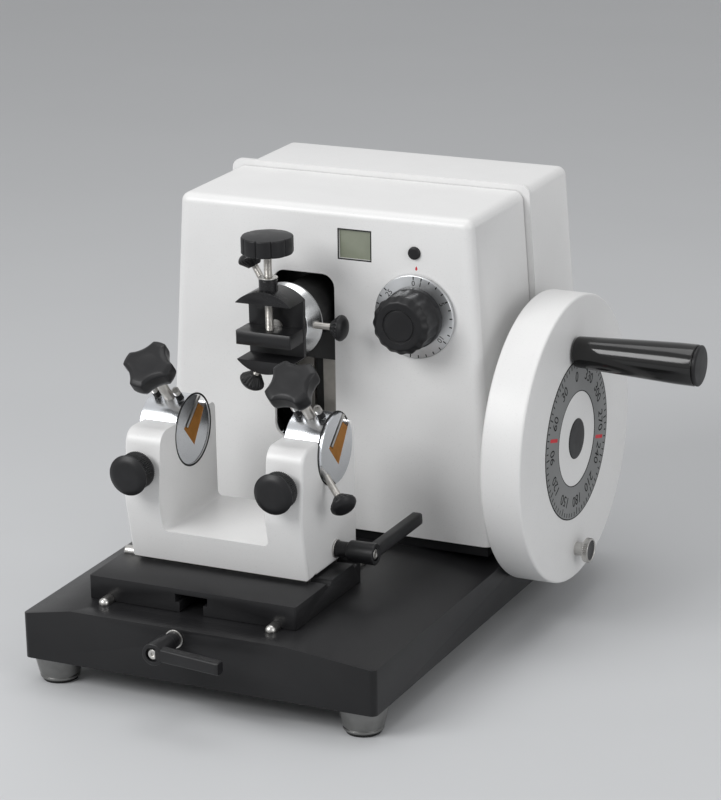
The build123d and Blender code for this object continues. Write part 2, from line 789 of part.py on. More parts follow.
def make_clamp_body():
    """Round clamp with side flats, open in front between two fixed jaws."""
    body = rod_y(CLAMP_R, CLAMP_Y0, CLAMP_Y1, AXIS_X, HEAD_Z)
    body &= block(
        AXIS_X - CLAMP_FLAT, AXIS_X + CLAMP_FLAT, CLAMP_Y0, CLAMP_Y1,
        HEAD_Z - CLAMP_R, HEAD_Z + CLAMP_R,
    )
    back = CLAMP_Y1 - CLAMP_BACK
    body -= block(
        AXIS_X - CLAMP_R, AXIS_X + CLAMP_R, CLAMP_Y0 - 1, back,
        HEAD_Z - CLAMP_MOUTH, HEAD_Z + CLAMP_MOUTH,
    )
    body -= rod_y(JAW_SCREW_R + RUN, back - 1, CLAMP_Y1 + 1, AXIS_X, HEAD_Z)
    body -= rod_y(5.3, back - 1, back + 2.3, AXIS_X, HEAD_Z)
    body -= rod_z(BUSH_R, HEAD_Z + CLAMP_MOUTH - 1, HEAD_Z + CLAMP_R + 1, AXIS_X, JAW_SCREW_Y)
    return body


def make_clamp_screw():
    """Slotted screw that holds the clamp on the ball's stem and lets it roll."""
    back = CLAMP_Y1 - CLAMP_BACK
    head = rod_y(5.0, back + 0.1, back + 2.3 - 0.1, AXIS_X, HEAD_Z)
    head -= block(AXIS_X - 6, AXIS_X + 6, back - 1, back + 1, HEAD_Z - 0.6, HEAD_Z + 0.6)
    return head + rod_y(JAW_SCREW_R, back + 2, BALL_Y, AXIS_X, HEAD_Z)


def make_collar_bush():
    """Threaded bush that the jaw screw runs in."""
    low = HEAD_Z + CLAMP_MOUTH
    bush = rod_z(BUSH_R, low, HEAD_Z + BUSH_TOP, AXIS_X, JAW_SCREW_Y)
    bush = chamfer(bush.edges().sort_by(Axis.Z)[-1], 0.8)
    return bush - rod_z(JAW_SCREW_R + RUN, low - 1, HEAD_Z + BUSH_TOP + 1, AXIS_X, JAW_SCREW_Y)


def make_jaw():
    """Movable jaw between the clamp's two fixed jaws."""
    back = CLAMP_Y1 - CLAMP_BACK - GAP
    high = HEAD_Z - JAW_DROP + JAW_H
    jaw = block(
        AXIS_X - CLAMP_FLAT, AXIS_X + CLAMP_FLAT, JAW_Y0, back, high - JAW_H, high
    )
    jaw = chamfer(jaw.edges().filter_by(Axis.Z), 0.6)
    return jaw - rod_z(JAW_SCREW_R + RUN, high - 7, high + 1, AXIS_X, JAW_SCREW_Y)


def make_jaw_screw():
    """Screw that pushes the jaw; it turns in the jaw and stays in it."""
    low = HEAD_Z - JAW_DROP + JAW_H - 6.5
    return rod_z(JAW_SCREW_R, low, HEAD_Z + JAW_KNOB_LOW + 4, AXIS_X, JAW_SCREW_Y)


def make_jaw_knob():
    """Scalloped round knob on top of the jaw screw."""
    grip = scalloped(JAW_KNOB_R, 1.3, 10, JAW_KNOB_H)
    grip = Pos(AXIS_X, JAW_SCREW_Y, HEAD_Z + JAW_KNOB_LOW) * grip
    return grip - rod_z(
        JAW_SCREW_R, HEAD_Z, HEAD_Z + JAW_KNOB_LOW + 4, AXIS_X, JAW_SCREW_Y
    )


def scalloped(radius, depth, count, height):
    """Round grip along +Z from Z = 0 with shallow finger flutes."""
    flute_r = math.pi * radius / count * 0.62
    outline = Circle(radius)
    for spot in PolarLocations(radius + flute_r - depth, count):
        outline -= spot * Circle(flute_r)
    body = extrude(outline, height)
    return chamfer(body.faces().sort_by(Axis.Z)[-1].edges(), 1.0)


# Feed carriage, column and vertical slide
def make_feed_carriage():
    """Carriage on the two rails with the upright column and the nut bracket."""
    plate = block(
        AXIS_X - CARRIAGE_HALF, AXIS_X + CARRIAGE_HALF, CARRIAGE_Y0, CARRIAGE_Y1,
        CARRIAGE_LOW, CARRIAGE_HIGH,
    )
    half = COLUMN_W / 2
    column = block(
        AXIS_X - half, AXIS_X + half, COLUMN_Y0, COLUMN_Y1, CARRIAGE_LOW, SLIDE_HIGH
    )
    rib = [
        (COLUMN_Y1 - 1, CARRIAGE_HIGH - 1),
        (COLUMN_Y1 + RIB_REACH, CARRIAGE_HIGH - 1),
        (COLUMN_Y1 - 1, CARRIAGE_HIGH + RIB_RISE),
    ]
    bracket = block(AXIS_X - 16, AXIS_X + 16, NUT_Y0, NUT_Y1, CARRIAGE_HIGH - 1, FEED_Z + 16)
    body = plate + column + bracket
    rib_out = lip_inside() - RIB_CLEAR
    for side in (-1, 1):
        edges = (AXIS_X + side * rib_out, AXIS_X + side * (rib_out - RIB_T))
        body += prism_x(rib, min(edges), max(edges))
        body -= rod_y(
            RAIL_R + RUN, CARRIAGE_Y0 - 1, CARRIAGE_Y1 + 1, AXIS_X + side * RAIL_OFF, RAIL_Z
        )
    return body - rod_y(NUT_R, NUT_Y0 - 1, NUT_Y1 + 1, AXIS_X, FEED_Z)


def lip_inside():
    """Distance from the machine's axis to the inner edge of the slide's rear lips."""
    return COLUMN_W / 2 + GAP - GIB_T


def make_feed_nut():
    """Bronze nut pressed into the carriage."""
    nut = rod_y(NUT_R, NUT_Y0, NUT_Y1, AXIS_X, FEED_Z)
    return nut - rod_y(FEED_R + RUN, NUT_Y0 - 1, NUT_Y1 + 1, AXIS_X, FEED_Z)


def strip_spans():
    """X ranges of the two hardened strips on the column's face."""
    return [(AXIS_X - 25.5, AXIS_X - 25.5 + STRIP_W), (AXIS_X - 4, AXIS_X - 4 + STRIP_W)]


def make_guide_strips():
    """Ground steel strips that the vertical slide runs on."""
    return Compound([
        block(x0, x1, COLUMN_Y0 - STRIP_T, COLUMN_Y0, CARRIAGE_HIGH + 4, SLIDE_HIGH)
        for x0, x1 in strip_spans()
    ])


def make_vertical_slide():
    """Slide that carries the head, with the yoke arm that the crank drives."""
    half = SLIDE_W / 2
    body = block(AXIS_X - half, AXIS_X + half, SLIDE_Y0, SLIDE_Y1, SLIDE_LOW, SLIDE_HIGH)
    inner = COLUMN_W / 2 + GAP
    for side in (-1, 1):
        x0 = AXIS_X + side * inner
        x1 = AXIS_X + side * half
        body += block(
            min(x0, x1), max(x0, x1), SLIDE_Y1 - 1, COLUMN_Y1 + 1, SLIDE_LOW, SLIDE_HIGH
        )
        lip = AXIS_X + side * lip_inside()
        body += block(
            min(lip, x1), max(lip, x1), COLUMN_Y1 + GAP, COLUMN_Y1 + 5,
            SLIDE_LOW + 4, SLIDE_HIGH - 4,
        )
    cap_low = HEAD_Z + NECK_R + 2 * GAP
    cap = block(AXIS_X + 3, AXIS_X + 17, SLIDE_Y0 - 5, SLIDE_Y0 + 1, cap_low, cap_low + 6)
    return body + cap + make_yoke_arm()


def yoke_span():
    """Y range of the yoke slot: both crank dead points plus the feed travel."""
    reach = CRANK_R + YOKE_BLOCK_L / 2 + 1.5
    return WHEEL_Y - reach, WHEEL_Y + reach + FEED_TRAVEL


def make_yoke_arm():
    """Plate beside the column with the level slot for the crank block."""
    y0, y1 = yoke_span()
    low = PIN_Z - YOKE_BLOCK_H / 2 - YOKE_RIM
    high = PIN_Z + YOKE_BLOCK_H / 2 + YOKE_RIM
    x1 = YOKE_X0 + YOKE_T
    outline = [
        (SLIDE_Y0 + 4, SLIDE_HIGH - 20),
        (SLIDE_Y0 + 4, SLIDE_LOW + 6),
        (y0 - YOKE_RIM, high - 6),
        (y0 - YOKE_RIM, low),
        (y1 + YOKE_RIM, low),
        (y1 + YOKE_RIM, high),
        (COLUMN_Y1 + 14, high),
        (COLUMN_Y1 + 5, SLIDE_LOW + 26),
        (COLUMN_Y1 + 5, SLIDE_HIGH - 20),
    ]
    arm = prism_x(outline, YOKE_X0, x1)
    half = YOKE_BLOCK_H / 2 + GAP
    return arm - block(YOKE_X0 - 1, x1 + 1, y0, y1, PIN_Z - half, PIN_Z + half)


def make_yoke_block():
    """Bronze block in the yoke slot, bored for the crank pin."""
    half_l = YOKE_BLOCK_L / 2
    half_h = YOKE_BLOCK_H / 2
    x1 = YOKE_X0 + YOKE_T
    body = block(
        YOKE_X0, x1, WHEEL_Y - half_l, WHEEL_Y + half_l, PIN_Z - half_h, PIN_Z + half_h
    )
    return body - rod_x(CRANK_PIN_R + GAP, YOKE_X0 + 2, x1 + 1, WHEEL_Y, PIN_Z)


# Crank, handwheel and handle
def make_crankshaft():
    """Main shaft with its crank disc, counterweight side and pin."""
    shaft = rod_x(SHAFT_R, CRANK_DISC_X0, WHEEL_X1 - 4, WHEEL_Y, WHEEL_Z)
    disc = rod_x(CRANK_DISC_R, CRANK_DISC_X0, CRANK_DISC_X0 + CRANK_DISC_T, WHEEL_Y, WHEEL_Z)
    for side in (-1, 1):
        disc -= rod_x(
            9, CRANK_DISC_X0 - 1, CRANK_DISC_X0 + CRANK_DISC_T + 1,
            WHEEL_Y + side * 24, WHEEL_Z + 2,
        )
    pin_x0 = YOKE_X0 + YOKE_T + 2 * GAP
    return shaft + disc + rod_x(CRANK_PIN_R, pin_x0, CRANK_DISC_X0 + 1, WHEEL_Y, PIN_Z)


def make_handwheel():
    """Heavy solid wheel with rounded edges and a boss at the back."""
    wheel = rod_x(WHEEL_R, WHEEL_X0, WHEEL_X1, WHEEL_Y, WHEEL_Z)
    front = wheel.edges().sort_by(Axis.X)[-1]
    back = wheel.edges().sort_by(Axis.X)[0]
    wheel = fillet([front, back], WHEEL_EDGE_R)
    wheel += rod_x(22, WHEEL_X0 - 5, WHEEL_X0 + 1, WHEEL_Y, WHEEL_Z)
    wheel -= rod_x(SHAFT_R, WHEEL_X0 - 6, WHEEL_X1 - 4, WHEEL_Y, WHEEL_Z)
    wheel -= rod_x(WHEEL_HUB_CAP_R, WHEEL_X1 - 4, WHEEL_X1 + 1, WHEEL_Y, WHEEL_Z)
    wheel -= rod_x(SPINDLE_R, WHEEL_X1 - 22, WHEEL_X1 + 1, HANDLE_Y, HANDLE_Z)
    lock_z = WHEEL_Z - LOCK_SCREW_R
    return wheel - rod_x(LOCK_SHANK_R + RUN, WHEEL_X0 - 1, WHEEL_X1 + 1, WHEEL_Y, lock_z)


def make_hub_cap():
    """Black plug over the shaft's end."""
    cap = rod_x(WHEEL_HUB_CAP_R, WHEEL_X1 - 4, WHEEL_X1 + 0.4, WHEEL_Y, WHEEL_Z)
    return chamfer(cap.edges().sort_by(Axis.X)[-1], 0.3)


def make_handle_spindle():
    """Steel spindle that the grip turns on, with its end nut."""
    spindle = rod_x(SPINDLE_R, WHEEL_X1 - 22, GRIP_X1 - 8, HANDLE_Y, HANDLE_Z)
    return spindle + rod_x(8, GRIP_X1 - 8, GRIP_X1 - 4, HANDLE_Y, HANDLE_Z)


def make_handle_grip():
    """Tapered grip that widens towards its rounded end."""
    profile = [
        (GRIP_X0, GRIP_R0 - 0.8),
        (GRIP_X0 + 0.8, GRIP_R0),
        (GRIP_X0 + GRIP_LEN * 0.45, GRIP_R0 + (GRIP_R1 - GRIP_R0) * 0.6),
        (GRIP_X1 - 9, GRIP_R1),
        (GRIP_X1 - 2, GRIP_R1),
        (GRIP_X1, GRIP_R1 - 1.6),
        (GRIP_X1, 12.2),
        (GRIP_X1 - 3.6, 10.0),
        (GRIP_X1 - 3.6, 8.0 + 2 * GAP),
        (GRIP_X1 - 8 - GAP, 8.0 + 2 * GAP),
        (GRIP_X1 - 8 - GAP, SPINDLE_R + RUN),
        (GRIP_X0, SPINDLE_R + RUN),
    ]
    return turned_x(profile, HANDLE_Y, HANDLE_Z)


def make_wheel_lock_screw():
    """Thumb screw in the wheel; its pin enters the base to lock the wheel."""
    z = WHEEL_Z - LOCK_SCREW_R
    x1 = WHEEL_X1 + LOCK_OUT
    shank = rod_x(LOCK_SHANK_R, WHEEL_X0 + 6, x1 + 1, WHEEL_Y, z)
    pin = rod_x(LOCK_PIN_R, WHEEL_X0 + 0.6, WHEEL_X0 + 7, WHEEL_Y, z)
    knurl = rod_x(LOCK_KNURL_R, x1, x1 + LOCK_KNURL_T, WHEEL_Y, z)
    return shank + pin + chamfer(knurl.edges(), 0.7)


# Feed screw, gears, ratchet and pawl
def bevel_gear(teeth, pitch_r, turn):
    """Straight bevel gear at 45 degrees, apex at the origin, axis along +Z."""
    low = pitch_r * (1 - GEAR_FACE)
    step = 360 / teeth
    module = 2 * pitch_r / teeth
    root = 1 - 1.35 * module / pitch_r
    tip = 1 + 1.0 * module / pitch_r
    core = loft([Pos(0, 0, low) * Circle(low * root), Pos(0, 0, pitch_r) * Circle(pitch_r * root)])
    half_root = pitch_r * math.pi / teeth * 0.62
    half_tip = pitch_r * math.pi / teeth * 0.24

    def section(z):
        k = z / pitch_r
        return Pos(0, 0, z) * make_face(Polyline(
            (pitch_r * root * 0.9 * k, -half_root * k),
            (pitch_r * tip * k, -half_tip * k),
            (pitch_r * tip * k, half_tip * k),
            (pitch_r * root * 0.9 * k, half_root * k),
            close=True,
        ))

    tooth = loft([section(low), section(pitch_r)])
    gear = core
    for i in range(teeth):
        gear += Rot(0, 0, turn + i * step) * tooth
    return gear


def make_feed_screw():
    """Feed screw with its bearing journals."""
    screw = rod_y(FEED_R, NUT_Y0 - FEED_TRAVEL - 4, REAR_POST_Y + REAR_POST_T + 2, AXIS_X, FEED_Z)
    return chamfer(screw.edges().sort_by(Axis.Y)[0], 0.8)


def make_ratchet_wheel():
    """Ratchet wheel, one piece with the bevel gear that the coarse wheel drives."""
    step = 2 * math.pi / RATCHET_TEETH
    points = []
    for i in range(RATCHET_TEETH):
        a = i * step
        low = RATCHET_R - RATCHET_DEPTH
        points.append((low * math.cos(a), low * math.sin(a)))
        points.append((RATCHET_R * math.cos(a), RATCHET_R * math.sin(a)))
    wheel = prism_y(points, RATCHET_Y, RATCHET_Y + RATCHET_T)
    wheel = Pos(AXIS_X, 0, FEED_Z) * wheel
    hub = rod_y(9, GEAR_APEX_Y + GEAR_PITCH_R, RATCHET_Y + 1, AXIS_X, FEED_Z)
    axis = Plane(origin=(AXIS_X, GEAR_APEX_Y, FEED_Z), x_dir=(-1, 0, 0), z_dir=(0, 1, 0))
    gear = axis.location * bevel_gear(GEAR_TEETH, GEAR_PITCH_R, 0)
    whole = wheel + hub + gear
    return whole - rod_y(FEED_R, GEAR_APEX_Y, RATCHET_Y + 9, AXIS_X, FEED_Z)


def make_coarse_wheel():
    """Small wheel outside the left side, on the shaft with the mating bevel gear."""
    tip_x = AXIS_X - GEAR_PITCH_R
    shaft = rod_x(COARSE_SHAFT_R, COARSE_X0, tip_x - 1, GEAR_APEX_Y, FEED_Z)
    axis = Plane(origin=(AXIS_X, GEAR_APEX_Y, FEED_Z), x_dir=(0, 1, 0), z_dir=(-1, 0, 0))
    gear = axis.location * bevel_gear(GEAR_TEETH, GEAR_PITCH_R, 180 / GEAR_TEETH)
    hub = rod_x(8, tip_x - 6, tip_x, GEAR_APEX_Y, FEED_Z)
    rim = scalloped(COARSE_R, 1.6, 12, COARSE_T)
    rim = Pos(COARSE_X0, GEAR_APEX_Y, FEED_Z) * Rot(0, -90, 0) * rim
    return shaft + gear + hub + rim


def cam_radius(angle):
    """Snail cam: radius falls steadily with the angle, in degrees."""
    return CAM_LARGE_R - (CAM_LARGE_R - CAM_SMALL_R) * angle / 330


def make_dial_shaft():
    """Shaft of the micron dial with the snail cam at its inner end."""
    front = dial_face_y() - DIAL_T - KNOB_LEN + 6
    shaft = rod_y(DIAL_SHAFT_R, front, CAM_Y + CAM_T, DIAL_X, DIAL_Z)
    points = []
    for i in range(23):
        deg = i * 15
        r = cam_radius(deg)
        a = math.radians(180 - deg)
        points.append((DIAL_X + r * math.cos(a), DIAL_Z + r * math.sin(a)))
    return shaft + prism_y(points, CAM_Y, CAM_Y + CAM_T)


PAWL_ARM_Y = 352.3
PAWL_ARM_T = 3.0
PAWL_PIN = (AXIS_X + 27.0, FEED_Z + 22.0)


def make_pawl_arm():
    """Arm that rocks on the feed screw; its finger rests against the snail cam."""
    tip_x = DIAL_X - CAM_LARGE_R - GAP
    points = [
        (AXIS_X - 12, FEED_Z - 6),
        (AXIS_X, FEED_Z - 14),
        (AXIS_X + 14, FEED_Z - 4),
        (PAWL_PIN[0] + 7, PAWL_PIN[1] - 4),
        (tip_x, DIAL_Z - 10),
        (tip_x, DIAL_Z + 12),
        (tip_x - 8, DIAL_Z + 12),
        (tip_x - 10, DIAL_Z - 14),
        (PAWL_PIN[0] - 8, PAWL_PIN[1] + 6),
        (AXIS_X - 8, FEED_Z + 12),
    ]
    arm = prism_y(points, PAWL_ARM_Y, PAWL_ARM_Y + PAWL_ARM_T)
    finger = block(tip_x - 8, tip_x, CAM_Y, PAWL_ARM_Y + 1, DIAL_Z - 8, DIAL_Z + 8)
    pin = rod_y(2.5, PAWL_ARM_Y, RATCHET_Y + RATCHET_T + 1, *PAWL_PIN)
    arm = arm + finger + pin
    return arm - rod_y(9 + RUN, PAWL_ARM_Y - 1, PAWL_ARM_Y + PAWL_ARM_T + 1, AXIS_X, FEED_Z)


def make_pawl():
    """Pawl that drops into the ratchet teeth."""
    px, pz = PAWL_PIN
    tip = (AXIS_X + (RATCHET_R + 1.0) * math.cos(math.radians(62)),
           FEED_Z + (RATCHET_R + 1.0) * math.sin(math.radians(62)))
    points = [
        (px + 4, pz - 3),
        (px + 4, pz + 4),
        (px - 2, pz + 6),
        tip,
        (tip[0] + 3.2, tip[1] - 0.4),
        (px - 3, pz - 1.5),
    ]
    body = prism_y(points, RATCHET_Y, RATCHET_Y + RATCHET_T)
    body += rod_y(4.6, RATCHET_Y, RATCHET_Y + RATCHET_T, px, pz)
    return body - rod_y(2.5 + RUN, RATCHET_Y - 1, RATCHET_Y + RATCHET_T + 1, px, pz)


# Frame, rods and bearings
def make_main_frame():
    """Cast frame under the casing: foot slab, two bearing walls, rail posts."""
    slab = block(-CASE_W_LOW / 2 + 4, CASE_W_LOW / 2 - 4, CASE_FRONT_LOW + 3, CASE_REAR_LOW - 3,
                 DECK, CASE_LOW)
    body = slab
    for x0 in (WALL_A_X0, WALL_B_X0):
        wall = prism_x(
            [(WHEEL_Y - 38, CASE_LOW - 1), (WHEEL_Y + 38, CASE_LOW - 1),
             (WHEEL_Y + 22, WHEEL_Z + 22), (WHEEL_Y - 22, WHEEL_Z + 22)],
            x0, x0 + WALL_T,
        )
        body += wall - rod_x(BEARING_R, x0 - 1, x0 + WALL_T + 1, WHEEL_Y, WHEEL_Z)
    reach = RAIL_OFF + 11
    body += block(AXIS_X - reach, AXIS_X + reach, 213, 221, CASE_LOW - 1, CARRIAGE_HIGH)
    rear = block(AXIS_X - reach, AXIS_X + reach, REAR_POST_Y, REAR_POST_Y + REAR_POST_T,
                 CASE_LOW - 1, CARRIAGE_HIGH)
    rear += block(AXIS_X - 15, AXIS_X + 15, REAR_POST_Y, REAR_POST_Y + REAR_POST_T,
                  CARRIAGE_HIGH - 1, FEED_Z + 14)
    body += rear - rod_y(9, REAR_POST_Y - 1, REAR_POST_Y + REAR_POST_T + 1, AXIS_X, FEED_Z)
    post_x = AXIS_X - 70
    body += block(post_x - 8, post_x + 8, GEAR_APEX_Y - 14, GEAR_APEX_Y + 14,
                  CASE_LOW - 1, FEED_Z + 14) - rod_x(9, post_x - 9, post_x + 9, GEAR_APEX_Y, FEED_Z)
    for side in (-1, 1):
        x = AXIS_X + side * RAIL_OFF
        body -= rod_y(RAIL_R, 212, REAR_POST_Y + REAR_POST_T + 1, x, RAIL_Z)
    return body


def make_slide_rods():
    """Ground rods: two under the saddle, two under the feed carriage."""
    rods = []
    for side in (-1, 1):
        x = AXIS_X + side * ROD_SPAN / 2
        rods.append(round_end_rod_y(ROD_R, ROD_TIP_Y, ROD_END_Y, x, ROD_Z))
        x = AXIS_X + side * RAIL_OFF
        rods.append(rod_y(RAIL_R, 213, REAR_POST_Y + REAR_POST_T, x, RAIL_Z))
    return Compound(rods)


def ring_x(r_out, r_in, x0, x1, y, z):
    """Ring along X."""
    return rod_x(r_out, x0, x1, y, z) - rod_x(r_in, x0 - 1, x1 + 1, y, z)


def ring_y(r_out, r_in, y0, y1, x, z):
    """Ring along Y."""
    return rod_y(r_out, y0, y1, x, z) - rod_y(r_in, y0 - 1, y1 + 1, x, z)


def make_bearings():
    """Bearings and bushes of the fixed frame and casing."""
    rings = [
        ring_x(BEARING_R, SHAFT_R + RUN, x0, x0 + WALL_T, WHEEL_Y, WHEEL_Z)
        for x0 in (WALL_A_X0, WALL_B_X0)
    ]
    rings.append(ring_y(9, FEED_R + RUN, REAR_POST_Y, REAR_POST_Y + REAR_POST_T, AXIS_X, FEED_Z))
    post_x = AXIS_X - 70
    rings.append(ring_x(9, COARSE_SHAFT_R + RUN, post_x - 8, post_x + 8, GEAR_APEX_Y, FEED_Z))
    rings.append(dial_bush())
    return Compound(rings)


def dial_bush():
    """Bush of the dial shaft, pressed into the casing's front wall."""
    y0 = front_y(DIAL_Z) + 0.5
    return ring_y(DIAL_BUSH_R, DIAL_SHAFT_R + RUN, y0, y0 + 12, DIAL_X, DIAL_Z)


# Casing
def front_y(z):
    """Y of the casing's front face at a height."""
    share = (z - CASE_LOW) / (CASE_TOP - CASE_LOW)
    return CASE_FRONT_LOW + share * (CASE_FRONT_TOP - CASE_FRONT_LOW)


def side_x(z):
    """Half width of the casing at a height."""
    share = (z - CASE_LOW) / (CASE_TOP - CASE_LOW)
    return (CASE_W_LOW + share * (CASE_W_TOP - CASE_W_LOW)) / 2


def dial_face_y():
    """Y of the dial's back."""
    return front_y(DIAL_Z) - DIAL_STAND


def tapered(inset, y_front, y_rear, z_low):
    """Tapered box of the casing, inset all round, between two front-to-back lines."""
    z_high = CASE_TOP - inset

    def level(z):
        half = side_x(z) - inset
        y0 = y_front(z) + inset
        y1 = y_rear(z) - inset
        return Pos(0, (y0 + y1) / 2, z) * Rectangle(2 * half, y1 - y0)

    return loft([level(z_low), level(z_high)])


def make_front_casing():
    """Front shell: window, display recess, button hole and shaft holes."""
    split = CASE_SPLIT - SPLIT_GAP / 2
    outer = tapered(0, front_y, lambda z: split, CASE_LOW)
    edges = outer.edges()
    top = edges.group_by(Axis.Z)[-1].sort_by(Axis.Y)[:-1]
    uprights = [e for e in edges if abs(e.tangent_at(0.5).Z) > 0.9 and e.center().Y < split - 9]
    outer = fillet(top + uprights, CASE_EDGE_R)
    inner = tapered(CASE_WALL, front_y, lambda z: split + CASE_WALL + 1, CASE_LOW - 5)
    shell = outer - inner
    window = block(
        AXIS_X + 0.7 - WINDOW_W / 2, AXIS_X + 0.7 + WINDOW_W / 2,
        CASE_FRONT_LOW - 5, CASE_FRONT_TOP + 9, WINDOW_LOW, WINDOW_HIGH,
    )
    window = fillet(window.edges().filter_by(Axis.Y), WINDOW_R)
    shell -= window
    face = front_y(DISPLAY_Z)
    shell -= block(
        DISPLAY_X - DISPLAY_W / 2, DISPLAY_X + DISPLAY_W / 2, face - 3, face + 5,
        DISPLAY_Z - DISPLAY_H / 2, DISPLAY_Z + DISPLAY_H / 2,
    )
    shell -= rod_y(BUTTON_R + 0.2, face - 5, face + 6, BUTTON_X, BUTTON_Z)
    shell -= rod_y(DIAL_BUSH_R, face - 9, face + 6, DIAL_X, DIAL_Z)
    return shell - rod_x(SHAFT_R + 2, 100, 140, WHEEL_Y, WHEEL_Z)


def make_rear_cover():
    """Rear shell with the proud rim at its joint and a cove behind the rim."""
    split = CASE_SPLIT + SPLIT_GAP / 2

    def rear_y(z):
        share = (z - CASE_LOW) / (CASE_TOP - CASE_LOW)
        return CASE_REAR_LOW + share * (CASE_REAR_TOP - CASE_REAR_LOW)

    outer = tapered(0, lambda z: split, rear_y, CASE_LOW)
    rim_top = CASE_TOP + RIM_OUT
    low = side_x(CASE_LOW) + RIM_OUT
    high = side_x(CASE_TOP) + RIM_OUT
    rim_outline = [(-low, CASE_LOW), (low, CASE_LOW), (high, rim_top), (-high, rim_top)]
    rim = prism_y(rim_outline, split, split + RIM_T)
    top_corners = rim.edges().filter_by(Axis.Y).sort_by(Axis.Z)[-2:]
    rim = fillet(top_corners, CASE_EDGE_R)
    back = outer.faces().sort_by(Axis.Y)[-1].edges()
    keep = [e for e in back if e.center().Z > CASE_LOW + 1]
    sides = outer.edges().filter_by(Axis.Y).sort_by(Axis.Z)[-2:]
    outer = fillet(keep + list(sides), CASE_EDGE_R)
    inner = tapered(CASE_WALL, lambda z: split - CASE_WALL - 1, rear_y, CASE_LOW - 5)
    cover = outer + rim - inner
    return cover - rod_x(COARSE_SHAFT_R + 2, -160, -100, GEAR_APEX_Y, FEED_Z)


def make_display_glass():
    """Counter window, sunk a little behind the casing's face."""
    face = front_y(DISPLAY_Z) + DISPLAY_SINK
    half_w = DISPLAY_W / 2 + 2
    half_h = DISPLAY_H / 2 + 2
    inner = front_y(DISPLAY_Z) + CASE_WALL + 0.2
    plug = block(
        DISPLAY_X - half_w + 2, DISPLAY_X + half_w - 2, face, inner + 1,
        DISPLAY_Z - half_h + 2, DISPLAY_Z + half_h - 2,
    )
    plate = block(
        DISPLAY_X - half_w, DISPLAY_X + half_w, inner + 0.1, inner + 7,
        DISPLAY_Z - half_h, DISPLAY_Z + half_h,
    )
    return plug + plate


def make_reset_button():
    """Round push button of the counter."""
    face = front_y(BUTTON_Z)
    button = rod_y(BUTTON_R, face - 2.4, face + 6, BUTTON_X, BUTTON_Z)
    button = fillet(button.edges().sort_by(Axis.Y)[0], 1.2)
    return button + rod_y(BUTTON_R + 2, face + 5.6, face + 8, BUTTON_X, BUTTON_Z)


def make_micron_dial():
    """Graduated disc of the section thickness setting."""
    back = dial_face_y()
    dial = rod_y(DIAL_R, back - DIAL_T, back, DIAL_X, DIAL_Z)
    dial = chamfer(dial.edges().sort_by(Axis.Y)[0], 0.6)
    return dial - rod_y(DIAL_SHAFT_R, back - DIAL_T - 1, back + 1, DIAL_X, DIAL_Z)


def make_micron_knob():
    """Scalloped knob of the micron dial, on a round flange."""
    base = dial_face_y() - DIAL_T
    place = Plane(origin=(DIAL_X, base, DIAL_Z), x_dir=(1, 0, 0), z_dir=(0, -1, 0)).location
    flange = Pos(0, 0, KNOB_FLANGE_T / 2) * Cylinder(KNOB_FLANGE_R, KNOB_FLANGE_T)
    flange = chamfer(flange.edges().sort_by(Axis.Z)[-1], 2.5)
    grip = scalloped(KNOB_R, 1.2, KNOB_LOBES, KNOB_LEN)
    knob = flange + grip
    knob -= Pos(0, 0, KNOB_LEN - 0.8) * (Cylinder(12.4, 4) - Cylinder(11.2, 4))
    knob -= Cylinder(DIAL_SHAFT_R, 2 * (KNOB_LEN - 6))
    return place * knob


